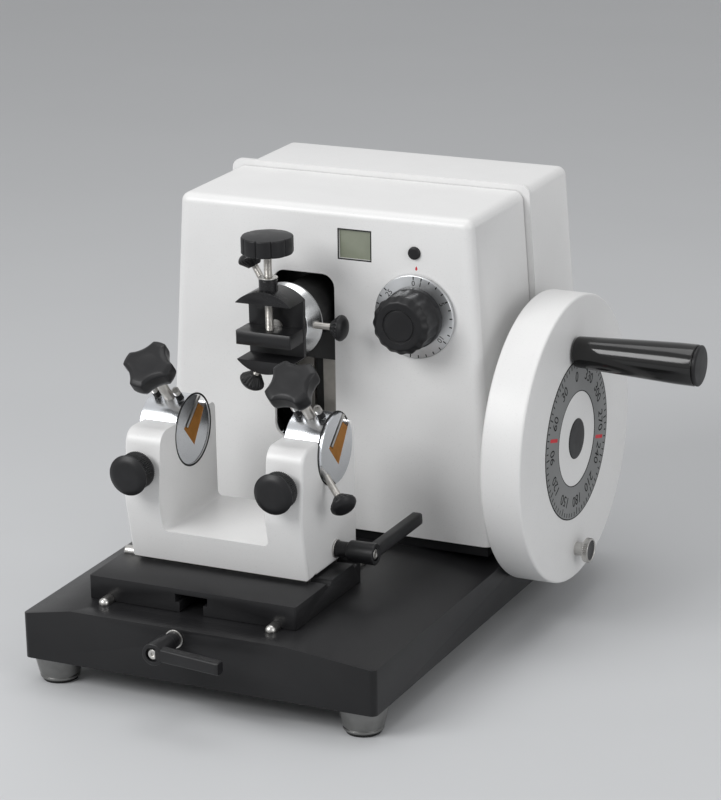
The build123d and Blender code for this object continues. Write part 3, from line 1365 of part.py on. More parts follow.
NODES = {
    "base_plate": make_base_plate(),
    "feet": make_feet(),
    "foot_pads": make_foot_pads(),
    "main_frame": make_main_frame(),
    "slide_rods": make_slide_rods(),
    "bearings": make_bearings(),
    "front_casing": make_front_casing(),
    "rear_cover": make_rear_cover(),
    "display_glass": make_display_glass(),
    "reset_button": make_reset_button(),
    "micron_dial": make_micron_dial(),
    "micron_knob": make_micron_knob(),
    "dial_shaft": make_dial_shaft(),
    "saddle_t_bolt": make_t_bolt(),
    "front_lever": make_front_lever(),
    "saddle": make_saddle(),
    "cross_rods": make_cross_rods(),
    "knife_holder": make_knife_holder(),
    "holder_t_bolt": make_holder_bolt(),
    "side_lever": make_side_lever(),
    "left_lock_knob": make_lock_knob(TOWER_L),
    "right_lock_knob": make_lock_knob(TOWER_R),
    "left_drum": make_drum(DRUM_L_X0),
    "right_drum": make_right_drum(),
    "left_pad": make_pad(DRUM_L_X0),
    "right_pad": make_pad(DRUM_R_X1 - DRUM_LEN),
    "left_plate": make_plate(DRUM_L_X0),
    "right_plate": make_plate(DRUM_R_X1 - DRUM_LEN),
    "left_star_knob": make_star_knob(DRUM_L_X0, LEFT_LOBES),
    "right_star_knob": make_star_knob(DRUM_R_X1 - DRUM_LEN, RIGHT_LOBES),
    "pad_screw": make_pad_screw(),
    "specimen_cup": make_specimen_cup(),
    "cup_screw_right": make_cup_screw(0, CUP_SCREW_OUT[0]),
    "cup_screw_upper": make_cup_screw(120, CUP_SCREW_OUT[1]),
    "cup_screw_lower": make_cup_screw(240, CUP_SCREW_OUT[2]),
    "ball": make_ball(),
    "clamp_body": make_clamp_body(),
    "clamp_screw": make_clamp_screw(),
    "collar_bush": make_collar_bush(),
    "jaw": make_jaw(),
    "jaw_screw": make_jaw_screw(),
    "jaw_knob": make_jaw_knob(),
    "feed_carriage": make_feed_carriage(),
    "feed_nut": make_feed_nut(),
    "guide_strips": make_guide_strips(),
    "vertical_slide": make_vertical_slide(),
    "yoke_block": make_yoke_block(),
    "crankshaft": make_crankshaft(),
    "handwheel": make_handwheel(),
    "hub_cap": make_hub_cap(),
    "handle_spindle": make_handle_spindle(),
    "handle_grip": make_handle_grip(),
    "wheel_lock_screw": make_wheel_lock_screw(),
    "feed_screw": make_feed_screw(),
    "ratchet_wheel": make_ratchet_wheel(),
    "pawl_arm": make_pawl_arm(),
    "pawl": make_pawl(),
    "coarse_wheel": make_coarse_wheel(),
}

boxes = [shape.bounding_box() for shape in NODES.values()]
Y_MIN = min(box.min.Y for box in boxes)
Y_MAX = max(box.max.Y for box in boxes)
ORIGIN_Y = (Y_MIN + Y_MAX) / 2

os.makedirs("parts", exist_ok=True)
for name, shape in NODES.items():
    export_step(Pos(-ORIGIN_X, -ORIGIN_Y, 0) * shape, f"parts/{name}.step")
print("origin shift", round(ORIGIN_X, 3), round(ORIGIN_Y, 3))
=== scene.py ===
"""Rotary microtome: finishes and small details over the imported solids.

Pieces are worked out in millimetres on the bench, with X = 0 at the middle of the
base, Y = 0 at its front face and Z = 0 on the table, and moved into the frame last.
"""
import math

import bmesh
import bpy
import numpy as np
from mathutils import Matrix


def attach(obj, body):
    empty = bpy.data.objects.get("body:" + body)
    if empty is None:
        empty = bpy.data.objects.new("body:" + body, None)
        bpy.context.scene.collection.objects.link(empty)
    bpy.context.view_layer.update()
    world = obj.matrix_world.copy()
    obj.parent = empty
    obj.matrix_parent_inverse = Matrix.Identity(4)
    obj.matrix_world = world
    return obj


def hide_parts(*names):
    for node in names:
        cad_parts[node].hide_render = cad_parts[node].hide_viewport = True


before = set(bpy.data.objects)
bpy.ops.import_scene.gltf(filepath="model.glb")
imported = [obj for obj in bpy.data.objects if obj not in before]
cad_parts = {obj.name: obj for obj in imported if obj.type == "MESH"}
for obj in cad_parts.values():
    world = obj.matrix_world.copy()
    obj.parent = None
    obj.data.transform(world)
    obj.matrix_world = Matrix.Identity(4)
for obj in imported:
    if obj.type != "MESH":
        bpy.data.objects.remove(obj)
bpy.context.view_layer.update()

TAU = 2 * math.pi

# Bench point that lies at the frame's origin
BENCH = np.array([57.0, 179.005, 0.0])

# Specimen head and clamp, on the machine's axis
AXIS_X = -16.5
HEAD_Z = 226.6
BALL_Y = 180.0
SOCKET_R = 18.1
CUP_R = 27.6
CUP_FRONT, CUP_BACK = 172.0, 184.4
NECK_R = 21.5
NECK_END = 233.0
CUP_SCREW_Y = 178.5
CLAMP_Y = 155.5

# Handwheel: X of its outer face, its axis and size, its handle and locking screw
WHEEL_FACE = 167.6
WHEEL_Y = 275.3
WHEEL_Z = 132.4
WHEEL_R = 105.3
WHEEL_THICK = 30.6
BOSS_THICK = 5.0
HANDLE_Y = 272.0
HANDLE_Z = 199.0
HANDLE_GAP = 1.4
LOCK_SCREW_DOWN = 84.4

# Micron dial and the red mark above it
DIAL_X = 72.6
DIAL_Z = 232.4
DIAL_STEP = math.radians(12.4)
MARK_X = 73.2
MARK_Z = 266.9

# Knife holder: towers, tilted drums, locking knobs and cross rods
TOWERS = {"left": -71.2, "right": 39.0}
TOWER_FRONT = 60.8
TOWER_FACES = (-57.2, 53.0)
DRUM_Y = 113.2
DRUM_Z = 161.0
TILT = math.radians(41.5)
THUMB_STEM_R = 2.5
LOCK_Z = 147.0
ROD_YS = (79.5, 121.5)
ROD_Z = 76.6
ROD_R = 3.98
ROD_START, ROD_END = -96.5, 48.0

# Feet, mirrored about the middle
FOOT_X = 117.6
FOOT_YS = (17.9, 378.0)

# Casing: each pair is the value at its foot and at its top
CASE_LOW, CASE_TOP = 67.0, 304.8
CASE_FRONT = (204.7, 209.2)
CASE_REAR = (392.0, 388.9)
CASE_WIDE = (261.4, 230.4)
SPLIT_Y = 301.8
DISPLAY_X = 25.2
DISPLAY_Z = 279.2


def along_case(pair, z):
    """Value at height z between a pair given at the casing's foot and top."""
    share = (z - CASE_LOW) / (CASE_TOP - CASE_LOW)
    return pair[0] + share * (pair[1] - pair[0])


def case_front(z):
    """Y of the casing's sloping front face at a height."""
    return along_case(CASE_FRONT, z)


# Shader maths
class Value:
    """A shader socket that Python's operators work on, by adding Math nodes."""

    def __init__(self, finish, socket):
        self.finish = finish
        self.socket = socket

    def math(self, operation, *others, clamp=False):
        """The value put through a Math node."""
        return self.finish.node(
            "ShaderNodeMath", {"operation": operation, "use_clamp": clamp}, self, *others
        )

    def __add__(self, other):
        return self.math("ADD", other)

    def __radd__(self, other):
        return self.math("ADD", other)

    def __sub__(self, other):
        return self.math("SUBTRACT", other)

    def __rsub__(self, other):
        return self.finish.node("ShaderNodeMath", {"operation": "SUBTRACT"}, other, self)

    def __mul__(self, other):
        return self.math("MULTIPLY", other)

    def __rmul__(self, other):
        return self.math("MULTIPLY", other)

    def __truediv__(self, other):
        return self.math("DIVIDE", other)

    def clamp(self):
        """The value, held between 0 and 1."""
        return self.math("ADD", 0.0, clamp=True)


class Finish:
    """A material whose nodes are made by one method."""

    def __init__(self, name):
        self.material = bpy.data.materials.new(name)
        self.material.use_nodes = True
        self.tree = self.material.node_tree
        self.shader = self.tree.nodes["Principled BSDF"]

    def put(self, socket, value):
        """Link or set one input."""
        if isinstance(value, Value):
            self.tree.links.new(value.socket, socket)
        elif socket.type == "RGBA" and len(value) == 3:
            socket.default_value = (*value, 1.0)
        else:
            socket.default_value = value

    def node(self, kind, settings, *inputs, out=0, **named):
        """New node with its settings and inputs, as the value of one of its outputs."""
        made = self.tree.nodes.new(kind)
        for key, value in settings.items():
            setattr(made, key, value)
        for number, value in enumerate(inputs):
            self.put(made.inputs[number], value)
        for key, value in named.items():
            self.put(made.inputs[key.replace("_", " ")], value)
        return Value(self, made.outputs[out])

    def place(self, scale=(1, 1, 1), origin=(0, 0, 0)):
        """Object coordinates, moved so that origin is at zero, then scaled."""
        here = self.node("ShaderNodeTexCoord", {}, out=3)
        moved = self.node("ShaderNodeVectorMath", {"operation": "SUBTRACT"}, here, origin)
        return self.node("ShaderNodeMapping", {"vector_type": "POINT"}, moved, Scale=scale)

    def noise(self, size_mm, detail=3.0, rough=0.5, **where):
        """Noise from 0 to 1 whose grains are about size_mm wide."""
        spot = self.place(**where)
        return self.node(
            "ShaderNodeTexNoise", {"noise_dimensions": "3D"}, spot,
            Scale=1000.0 / size_mm, Detail=detail, Roughness=rough,
        )

    def mix(self, share, first, second):
        """Colour between two colours."""
        made = self.tree.nodes.new("ShaderNodeMix")
        made.data_type = "RGBA"
        self.put(made.inputs[0], share)
        self.put(made.inputs[6], first)
        self.put(made.inputs[7], second)
        return Value(self, made.outputs[2])

    def ramp(self, value, low, high):
        """Value stretched so that low gives 0 and high gives 1."""
        return ((value - low) / (high - low)).clamp()

    def bump(self, height, distance_mm):
        """Normal of a surface that rises by distance_mm where height is 1."""
        return self.node(
            "ShaderNodeBump", {}, Strength=1.0, Distance=distance_mm / 1000.0, Height=height
        )

    def finish(self, **sockets):
        """Set the shader's inputs, with _ for a space, and give the material."""
        for key, value in sockets.items():
            self.put(self.shader.inputs[key.replace("_", " ")], value)
        return self.material


def enamel(name, colour, shade, rough, grain_mm, grain_rise, shine=0.5):
    """Sprayed enamel: faint cloudy shade, orange-peel skin, a few duller spots."""
    f = Finish(name)
    cloud = f.ramp(f.noise(55, detail=4.0), 0.35, 0.7)
    speck = f.ramp(f.noise(1.1, detail=2.0), 0.60, 0.72)
    peel = f.noise(grain_mm, detail=2.5, rough=0.6)
    base = f.mix(cloud, colour, shade)
    base = f.mix(speck * 0.25, base, tuple(0.8 * c for c in shade))
    return f.finish(
        Base_Color=base,
        Roughness=rough + 0.10 * (cloud - 0.5) + 0.08 * speck,
        Normal=f.bump(peel, grain_rise),
        Specular_IOR_Level=shine,
    )


def moulded(name, colour, rough, grain_mm=0.7, rise=0.035, shine=0.35):
    """Moulded plastic: fine spark-eroded grain and slightly polished high spots."""
    f = Finish(name)
    grain = f.noise(grain_mm, detail=3.0)
    worn = f.ramp(f.noise(14, detail=3.0), 0.45, 0.75)
    base = f.mix(worn * 0.5, colour, tuple(1.6 * c + 0.004 for c in colour))
    return f.finish(
        Base_Color=base,
        Roughness=rough - 0.09 * worn + 0.05 * grain,
        Normal=f.bump(grain, rise),
        Specular_IOR_Level=shine,
    )


def machined(name, colour, rough, axis, lines_mm=0.35, rise=0.006):
    """Bare metal with fine tool lines that lie square to one axis: 0, 1 or 2."""
    f = Finish(name)
    stretch = tuple(1.0 if i == axis else 0.03 for i in range(3))
    lines = f.noise(lines_mm, detail=2.0, scale=stretch)
    stain = f.ramp(f.noise(9, detail=4.0), 0.40, 0.75)
    dark = tuple(0.72 * c for c in colour)
    base = f.mix(stain * 0.6, colour, dark)
    return f.finish(
        Base_Color=base,
        Metallic=1.0,
        Roughness=rough + 0.12 * lines + 0.10 * stain,
        Normal=f.bump(lines, rise),
    )


def plated(name, colour, rough):
    """Bright plate: very faint polishing lines and smears."""
    f = Finish(name)
    smear = f.ramp(f.noise(11, detail=4.0, scale=(1.0, 0.35, 1.0)), 0.42, 0.8)
    fine = f.noise(0.9, detail=2.0, scale=(1.0, 0.15, 1.0))
    return f.finish(
        Base_Color=f.mix(smear * 0.35, colour, tuple(0.86 * c for c in colour)),
        Metallic=1.0,
        Roughness=rough + 0.07 * smear,
        Normal=f.bump(fine, 0.0025),
    )


def spun(name, colour, x_mm, z_mm, rough, shade, lobes=3.0, phase=0.6):
    """Disc faced on a lathe about an axis along Y through a bench point.

    It has fine rings, and painted reflection in its colour: the light and dark
    sectors of sheen that such a face shows, which mix by (1 + cos(lobes * angle + phase)) / 2.
    """
    f = Finish(name)
    centre = ((x_mm - BENCH[0]) / 1000.0, 0.0, z_mm / 1000.0)
    spot = f.place(origin=centre, scale=(1.0, 0.0, 1.0))
    radius = f.node("ShaderNodeVectorMath", {"operation": "LENGTH"}, spot, out=1)
    across = f.node("ShaderNodeSeparateXYZ", {}, spot, out=0)
    upward = f.node("ShaderNodeSeparateXYZ", {}, spot, out=2)
    angle = upward.math("ARCTAN2", across)
    # Painted sheen: light and dark sectors of reflection, set by the angle round the axis
    sector = ((angle * lobes + phase).math("COSINE") + 1.0) * 0.5
    rings = f.node(
        "ShaderNodeTexNoise", {"noise_dimensions": "1D"}, W=radius, Scale=2600.0, Detail=3.0
    )
    cloud = f.ramp(f.noise(8, detail=3.0), 0.35, 0.75)
    return f.finish(
        Base_Color=f.mix(sector * 0.85 + cloud * 0.15, tuple(shade * c for c in colour), colour),
        Metallic=1.0,
        Roughness=rough + 0.14 * rings,
        Normal=f.bump(rings, 0.006),
    )


def cast_iron(name, colour, rough):
    """Oiled cast iron: lumpy skin with dull and shiny patches."""
    f = Finish(name)
    lump = f.noise(2.6, detail=5.0, rough=0.6)
    patch = f.ramp(f.noise(17, detail=4.0), 0.38, 0.7)
    return f.finish(
        Base_Color=f.mix(patch, colour, tuple(1.7 * c for c in colour)),
        Metallic=0.35,
        Roughness=rough + 0.15 * patch,
        Normal=f.bump(lump, 0.12),
    )


# Paint
WHITE = enamel(
    "white_enamel", (0.80, 0.80, 0.795), (0.77, 0.77, 0.765), rough=0.36, grain_mm=1.5, grain_rise=0.022
)
WHEEL_WHITE = enamel(
    "wheel_enamel", (0.79, 0.79, 0.785), (0.765, 0.765, 0.76), rough=0.45, grain_mm=1.3, grain_rise=0.02
)
BLACK = enamel(
    "black_enamel", (0.012, 0.012, 0.013), (0.017, 0.017, 0.018), rough=0.36, grain_mm=0.9,
    grain_rise=0.03, shine=0.26,
)

# Plastics
KNOB = moulded("black_plastic", (0.008, 0.008, 0.009), rough=0.40)
LEVER = moulded("lever_plastic", (0.010, 0.010, 0.011), rough=0.36, grain_mm=0.5, rise=0.03)
GLOSS = moulded("grip_plastic", (0.005, 0.005, 0.005), rough=0.12, grain_mm=6.0, rise=0.02, shine=0.5)
RUBBER = moulded("rubber", (0.012, 0.012, 0.012), rough=0.75, grain_mm=1.2, rise=0.06)

# Metals
CHROME = plated("chrome", (0.74, 0.76, 0.79), rough=0.21)
# The cup and the dial carry a painted sheen: light and dark sectors of reflection in their colour
CUP_METAL = spun(
    "cup_metal", (0.80, 0.81, 0.82), AXIS_X, HEAD_Z, rough=0.16, shade=0.42, lobes=4.0, phase=1.2
)
STEEL = machined("steel", (0.56, 0.55, 0.53), rough=0.24, axis=1)
STEEL_X = machined("steel_along_x", (0.60, 0.59, 0.57), rough=0.22, axis=0)
STEEL_Z = machined("steel_along_z", (0.56, 0.54, 0.51), rough=0.24, axis=2)
FOOT = machined("foot_metal", (0.24, 0.24, 0.235), rough=0.27, axis=2, lines_mm=0.5)
ROUGH_STEEL = machined("ground_strip", (0.47, 0.45, 0.42), rough=0.42, axis=2, lines_mm=1.2, rise=0.05)
BRASS = machined("brass", (0.46, 0.20, 0.035), rough=0.38, axis=0, lines_mm=0.6)
DIAL_METAL = spun("dial_metal", (0.74, 0.75, 0.76), DIAL_X, DIAL_Z, rough=0.24, shade=0.62)
IRON = cast_iron("cast_iron", (0.022, 0.022, 0.022), rough=0.42)
BLACKED = enamel(
    "blacked_steel", (0.010, 0.010, 0.011), (0.016, 0.016, 0.017), rough=0.30, grain_mm=0.7,
    grain_rise=0.03, shine=0.35,
)

# Print
INK = moulded("print_ink", (0.004, 0.004, 0.004), rough=0.6, shine=0.15)
RING_GREY = enamel(
    "ring_print", (0.22, 0.225, 0.225), (0.19, 0.195, 0.195), rough=0.42, grain_mm=0.8,
    grain_rise=0.01, shine=0.3,
)
RED = moulded("red_print", (0.55, 0.012, 0.025), rough=0.45)


def display_finish():
    """Counter window: smooth grey-green film, faintly cloudy."""
    f = Finish("display_film")
    cloud = f.noise(7, detail=2.0)
    base = f.mix(cloud, (0.225, 0.245, 0.185), (0.265, 0.285, 0.22))
    return f.finish(Base_Color=base, Roughness=0.10 + 0.05 * cloud)


DISPLAY = display_finish()


# Outlines and turned shapes
def grid_faces(rows, cols, wrap_rows=False, wrap_cols=True):
    """Quads between the rows and columns of a grid of points."""
    r = np.arange(rows if wrap_rows else rows - 1)[:, None]
    c = np.arange(cols if wrap_cols else cols - 1)[None, :]
    r1 = (r + 1) % rows
    c1 = (c + 1) % cols
    quads = np.stack([r * cols + c, r * cols + c1, r1 * cols + c1, r1 * cols + c], axis=-1)
    return quads.reshape(-1, 4)


def joined(*parts):
    """Several (points, faces) pairs as one."""
    points, faces, start = [], [], 0
    for p, f in parts:
        points.append(p)
        faces.append(f + start)
        start += len(p)
    return np.concatenate(points), np.concatenate(faces)


def place_of(origin, z_dir, x_dir=(0, 0, 1)):
    """Origin and three axes: z_dir, and x_dir made square to it."""
    z = np.array(z_dir, float)
    z /= np.linalg.norm(z)
    x = np.array(x_dir, float)
    if abs(x @ z) > 0.95:
        x = np.array((1.0, 0.0, 0.0)) if abs(z[0]) < 0.9 else np.array((0.0, 1.0, 0.0))
    x -= (x @ z) * z
    x /= np.linalg.norm(x)
    return np.array(origin, float), x, np.cross(z, x), z


def rounded(points, radii, steps=5):
    """Outline through points whose corners are softened.

    The curve at a corner p starts at a and ends at b, both min(radius, 0.49 of the
    side) away from p, and is (1 - t) ** 2 * a + 2 * t * (1 - t) * p + t ** 2 * b.
    """
    p = np.array(points, float)
    out = [p[:1]]
    t = np.linspace(0, 1, steps + 1)[:, None]
    for i, radius in zip(range(1, len(p) - 1), radii):
        before = p[i - 1] - p[i]
        after = p[i + 1] - p[i]
        reach = min(radius, 0.49 * np.linalg.norm(before), 0.49 * np.linalg.norm(after))
        if reach <= 0:
            out.append(p[i : i + 1])
            continue
        a = p[i] + before / np.linalg.norm(before) * reach
        b = p[i] + after / np.linalg.norm(after) * reach
        out.append((1 - t) ** 2 * a + 2 * t * (1 - t) * p[i] + t**2 * b)
    out.append(p[-1:])
    return np.concatenate(out)


def turned(profile, place, turns=72, shape=None, closed=False):
    """Profile of (radius, height) carried round an axis.

    P(u, v) = origin + R(u, v) * (cos u * x + sin u * y) + h(v) * z, where R is the
    profile's radius, or shape(u, radius, height) where one is given.
    """
    origin, x, y, z = place
    profile = np.array(profile, float)
    u = np.arange(turns)[None, :] * TAU / turns
    r = profile[:, 0][:, None] + 0 * u
    h = profile[:, 1][:, None] + 0 * u
    if shape is not None:
        r = shape(u + 0 * r, r, h)
    ring = np.cos(u)[..., None] * x + np.sin(u)[..., None] * y
    points = origin + r[..., None] * ring + h[..., None] * z
    return points.reshape(-1, 3), grid_faces(len(profile), turns, wrap_rows=closed)


def coil(radius, wire, low, high, rounds, place):
    """Spring: a circle of the wire's radius carried along a helix.

    C(t) = origin + radius * (cos t * x + sin t * y) + (low + rise) * z, and each
    point is C plus wire * (cos s * outward + sin s * z).
    """
    sides, around = 8, 14
    origin, x, y, z = place
    t = np.linspace(0, TAU * rounds, int(around * rounds) + 1)[:, None]
    s = np.arange(sides)[None, :] * TAU / sides
    out = np.cos(t)[..., None] * x + np.sin(t)[..., None] * y
    centre = origin + radius * out + (low + (high - low) * t / t[-1])[..., None] * z
    points = centre + wire * (np.cos(s)[..., None] * out + np.sin(s)[..., None] * z)
    ends = np.concatenate([points[:1] * 0 + centre[:1], points, points[-1:] * 0 + centre[-1:]])
    return ends.reshape(-1, 3), grid_faces(len(t) + 2, sides)


def threaded(r, low, high, place, pitch, depth):
    """Threaded stud: R = r - depth * |2 * frac(h / pitch - u / tau) - 1|."""
    lead = 0.6
    rows = max(8, int((high - low) / pitch * 6))
    h = np.linspace(low + lead, high - lead, rows)
    ends = np.array([[0, low], [r - 0.7, low]])
    tail = np.array([[r - 0.7, high], [0, high]])
    profile = np.concatenate([ends, np.stack([h * 0 + r, h], axis=1), tail])

    def shape(u, rad, height):
        wave = np.abs(2 * np.mod(height / pitch - u / TAU, 1) - 1)
        return np.where(rad > r - 0.05, rad - depth * wave, rad)

    return turned(profile, place, 32, shape)


def piece(name, data, body, material, replaces=(), angle=38):
    """Puts bench points and faces into a closed mesh that rides on a body."""
    points, faces = data
    mesh = bpy.data.meshes.new(name)
    mesh.from_pydata(((points - BENCH) / 1000.0).tolist(), [], faces.tolist())
    work = bmesh.new()
    work.from_mesh(mesh)
    bmesh.ops.remove_doubles(work, verts=work.verts, dist=2e-7)
    bmesh.ops.dissolve_degenerate(work, dist=1e-8, edges=work.edges)
    bmesh.ops.recalc_face_normals(work, faces=work.faces)
    work.to_mesh(mesh)
    work.free()
    mesh.polygons.foreach_set("use_smooth", np.ones(len(mesh.polygons), bool))
    mesh.set_sharp_from_angle(angle=math.radians(angle))
    mesh.materials.append(material)
    obj = bpy.data.objects.new(name, mesh)
    bpy.context.scene.collection.objects.link(obj)
    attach(obj, body)
    if replaces:
        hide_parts(*replaces)
    return obj


# Solids that stay as they are, with a better finish
def dress(node, material, bevel=0.0):
    """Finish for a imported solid: smooth round faces, and soft edges where asked."""
    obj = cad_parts[node]
    obj.data.materials.clear()
    obj.data.materials.append(material)
    obj.data.polygons.foreach_set("material_index", np.zeros(len(obj.data.polygons), int))
    obj.data.polygons.foreach_set("use_smooth", np.ones(len(obj.data.polygons), bool))
    weld = obj.modifiers.new("weld", "WELD")
    weld.merge_threshold = 1e-6
    if bevel:
        soft = obj.modifiers.new("soft_edges", "BEVEL")
        soft.width = bevel / 1000
        soft.segments = 2
        soft.limit_method = "ANGLE"
        soft.angle_limit = math.radians(32)
    split = obj.modifiers.new("edges", "EDGE_SPLIT")
    split.split_angle = math.radians(40 if bevel else 32)


for node_name, finish, soft in (
    ("base_plate", BLACK, 0.7), ("main_frame", BLACK, 0.0), ("saddle", BLACK, 0.5),
    ("knife_holder", WHITE, 0.0), ("front_casing", WHITE, 0.0), ("rear_cover", WHITE, 0.0),
    ("slide_rods", STEEL, 0.0), ("bearings", STEEL, 0.0),
    ("saddle_t_bolt", STEEL, 0.0), ("holder_t_bolt", STEEL, 0.0), ("display_glass", DISPLAY, 0.0),
    ("left_drum", CHROME, 0.0), ("right_drum", CHROME, 0.0),
    ("left_pad", BRASS, 0.0), ("right_pad", BRASS, 0.0),
    ("clamp_body", BLACKED, 0.35), ("jaw", BLACKED, 0.35), ("ball", STEEL, 0.0),
    ("clamp_screw", STEEL, 0.0), ("feed_carriage", IRON, 0.0), ("feed_nut", BRASS, 0.0),
    ("guide_strips", ROUGH_STEEL, 0.0), ("vertical_slide", IRON, 0.0), ("yoke_block", BRASS, 0.0),
    ("crankshaft", STEEL_X, 0.0), ("handle_spindle", STEEL_X, 0.0), ("feed_screw", STEEL, 0.0),
    ("ratchet_wheel", STEEL, 0.0), ("pawl_arm", STEEL_Z, 0.0), ("pawl", STEEL_Z, 0.0),
    ("coarse_wheel", KNOB, 0.0), ("dial_shaft", STEEL, 0.0), ("reset_button", KNOB, 0.0),
):
    dress(node_name, finish, soft)


# Feet
def foot_parts():
    """Four turned cones that widen upwards from a grooved rim, and their pads."""
    profile = rounded(
        [(0, 2.2), (13.4, 2.2), (14.0, 2.9), (14.0, 4.1), (13.4, 4.4), (13.4, 5.1), (14.3, 5.5),
         (17.4, 18.6), (17.6, 19.3), (0, 19.3)],
        [0.5, 0.4, 0.2, 0.15, 0.15, 0.3, 0.5, 0.4],
    )
    pad = rounded([(0, 0), (12.2, 0), (12.4, 2.2), (0, 2.2)], [0.7, 0.3])
    cones, pads = [], []
    for x in (-FOOT_X, FOOT_X):
        for y in FOOT_YS:
            cones.append(turned(profile, place_of((x, y, 0), (0, 0, 1)), 64))
            pads.append(turned(pad, place_of((x, y, 0), (0, 0, 1)), 48))
    return joined(*cones), joined(*pads)


cones, pads = foot_parts()
piece("turned_feet", cones, "frame", FOOT, ["feet"])
piece("rubber_feet", pads, "frame", RUBBER, ["foot_pads"])


# Cross rods: a ball end on the left, a flat end just inside the holder on the right
rod_profile = rounded(
    [(0, ROD_START), (ROD_R, ROD_START), (ROD_R, ROD_END), (0, ROD_END)], [3.9, 0.3], steps=8
)
cross_rods = [
    turned(rod_profile, place_of((0, y, ROD_Z), (1, 0, 0), (0, 0, 1)), 40) for y in ROD_YS
]
piece("ground_cross_rods", joined(*cross_rods), "saddle_block", STEEL_X, ["cross_rods"])


# Knobs
def cross_grip(low, high, turn, place):
    """Four-armed grip: the sides are bites out of a disc of radius tip.

    With p the angle from a bite's middle, its edge lies at R = off * cos(p) -
    sqrt(bite ** 2 - (off * sin(p)) ** 2). The smaller of that and tip is taken as
    -k * log(exp(-a / k) + exp(-b / k)), which rounds the arms' corners. The profile
    gives each ring's share of that radius, and the bites fade out near the middle.
    """
    tip, bite, off, k = 18.8, 19.7, 33.9, 0.45
    dish = 0.9
    past_tip = 40.0
    tall = high - low
    share = rounded(
        [(0, low), (0.93, low), (1.0, low + tall * 0.22), (1.0, high - tall * 0.14), (0.80, high - 0.3),
         (0.45, high), (0, high - dish)],
        [0.06, 1.4, 1.8, 0.6, 0.4], steps=6,
    )

    def shape(u, r, h):
        p = np.mod(u - turn, TAU / 4) - TAU / 8
        under_root = bite**2 - (off * np.sin(p)) ** 2
        edge = off * np.cos(p) - np.sqrt(np.maximum(under_root, 0))
        edge = np.where(under_root > 0, edge, past_tip)
        star = -k * np.log(np.exp(-edge / k) + np.exp(-tip / k))
        bitten = np.clip((r - 0.45) / 0.4, 0, 1)
        bitten = bitten * bitten * (3 - 2 * bitten)
        return r * (tip + (star - tip) * bitten)

    return turned(share, place, 224, shape)


def fluted(profile, place, flutes, depth, low, high, turns, sharp=1.0, inner=0.80):
    """Grip whose side is fluted between two heights.

    R = r - depth * (1 - |cos(flutes * u / 2)| ** sharp) where low < h < high and
    the profile's radius is near its largest.
    """
    top = max(p[0] for p in profile)

    def shape(u, r, h):
        edge = np.clip((h - low) / 0.6, 0, 1) * np.clip((high - h) / 0.6, 0, 1)
        near = np.clip((r - top * inner) / (top * 0.12), 0, 1)
        return r - depth * edge * near * (1 - np.abs(np.cos(flutes * u / 2)) ** sharp)

    return turned(profile, place, turns, shape)


def knurled(profile, place, teeth, depth, low, high):
    """Straight knurl: R = r - depth * |sin(teeth * u / 2)| between two heights."""
    top = max(p[0] for p in profile)

    def shape(u, r, h):
        edge = np.clip((h - low) / 0.5, 0, 1) * np.clip((high - h) / 0.5, 0, 1)
        near = np.clip((r - top + 1.2) / 0.6, 0, 1)
        return r - depth * edge * near * np.abs(np.sin(teeth * u / 2))

    return turned(profile, place, teeth * 6, shape)


def socket_head(r, tall, place, low=0.0):
    """Socket-head screw: round head, rounded rim and a six-sided hole.

    Inside the hole the radius is a / cos(u mod 60 degrees - 30 degrees).
    """
    hole = r * 0.48
    profile = rounded(
        [(0, low), (r, low), (r, low + tall), (hole * 1.25, low + tall), (hole, low + tall - 0.3),
         (hole, low + tall * 0.45), (0, low + tall * 0.4)],
        [0.15, 0.5, 0, 0, 0], steps=3,
    )

    def shape(u, rad, h):
        sector = np.mod(u, TAU / 6) - TAU / 12
        inner = (h > low + 0.3) & (rad <= hole + 0.01)
        return np.where(inner, rad * 0.88 / np.cos(sector), rad)

    return turned(profile, place, 48, shape)


def thumb(low, place, r=9.4):
    """Small thumb knob: fluted cone that opens to a belt, and a smooth domed end."""
    profile = rounded(
        [(0, low), (4.8, low), (5.1, low + 0.6), (r, low + 5.6), (r, low + 7.4), (r - 2.4, low + 10.2),
         (0, low + 11.2)],
        [0.4, 0.5, 1.2, 0.9, 2.6], steps=5,
    )
    return fluted(
        profile, place, flutes=20, depth=0.75, low=low + 0.8, high=low + 7.0, turns=160, sharp=1.2,
        inner=0.55,
    )


def drum_place(side, n, t):
    """Place on a drum's tilted frame, with z outward along the star screw."""
    y = DRUM_Y - n * math.sin(TILT) + t * math.cos(TILT)
    z = DRUM_Z + n * math.cos(TILT) + t * math.sin(TILT)
    return place_of((TOWERS[side], y, z), (0, -math.sin(TILT), math.cos(TILT)), (1, 0, 0))


def shifted(place, dx):
    """The same place, moved along the bench's X."""
    origin, x, y, z = place
    return origin + np.array((dx, 0, 0)), x, y, z


def star_knob(side, turn):
    """Four-armed knob on its threaded stud, over a drum's pressure plate and springs."""
    foot = drum_place(side, 0, 10.5)
    hub_profile = rounded(
        [(0, 50.5), (9.4, 50.5), (10.0, 51.3), (10.0, 55.6), (0, 55.6)], [0.5, 0.5, 0.2]
    )
    hub = fluted(hub_profile, foot, flutes=14, depth=0.9, low=50.8, high=56.4, turns=112)
    grip = cross_grip(low=55.0, high=68.5, turn=turn, place=foot)
    piece(f"{side}_star_grip", joined(hub, grip), f"{side}_star", KNOB,
          [f"{side}_star_knob"], angle=50)
    stud = threaded(r=3.72, low=8.4, high=51.0, place=foot, pitch=1.25, depth=0.42)
    piece(f"{side}_star_stud", stud, f"{side}_star", STEEL_Z, angle=60)
    dress(f"{side}_plate", STEEL)
    springs = [
        coil(radius=2.35, wire=0.42, low=23.4, high=29.9, rounds=5, place=shifted(foot, dx))
        for dx in (-9.0, 9.0)
    ]
    piece(f"{side}_springs", joined(*springs), f"{side}_pressure", BLACKED)


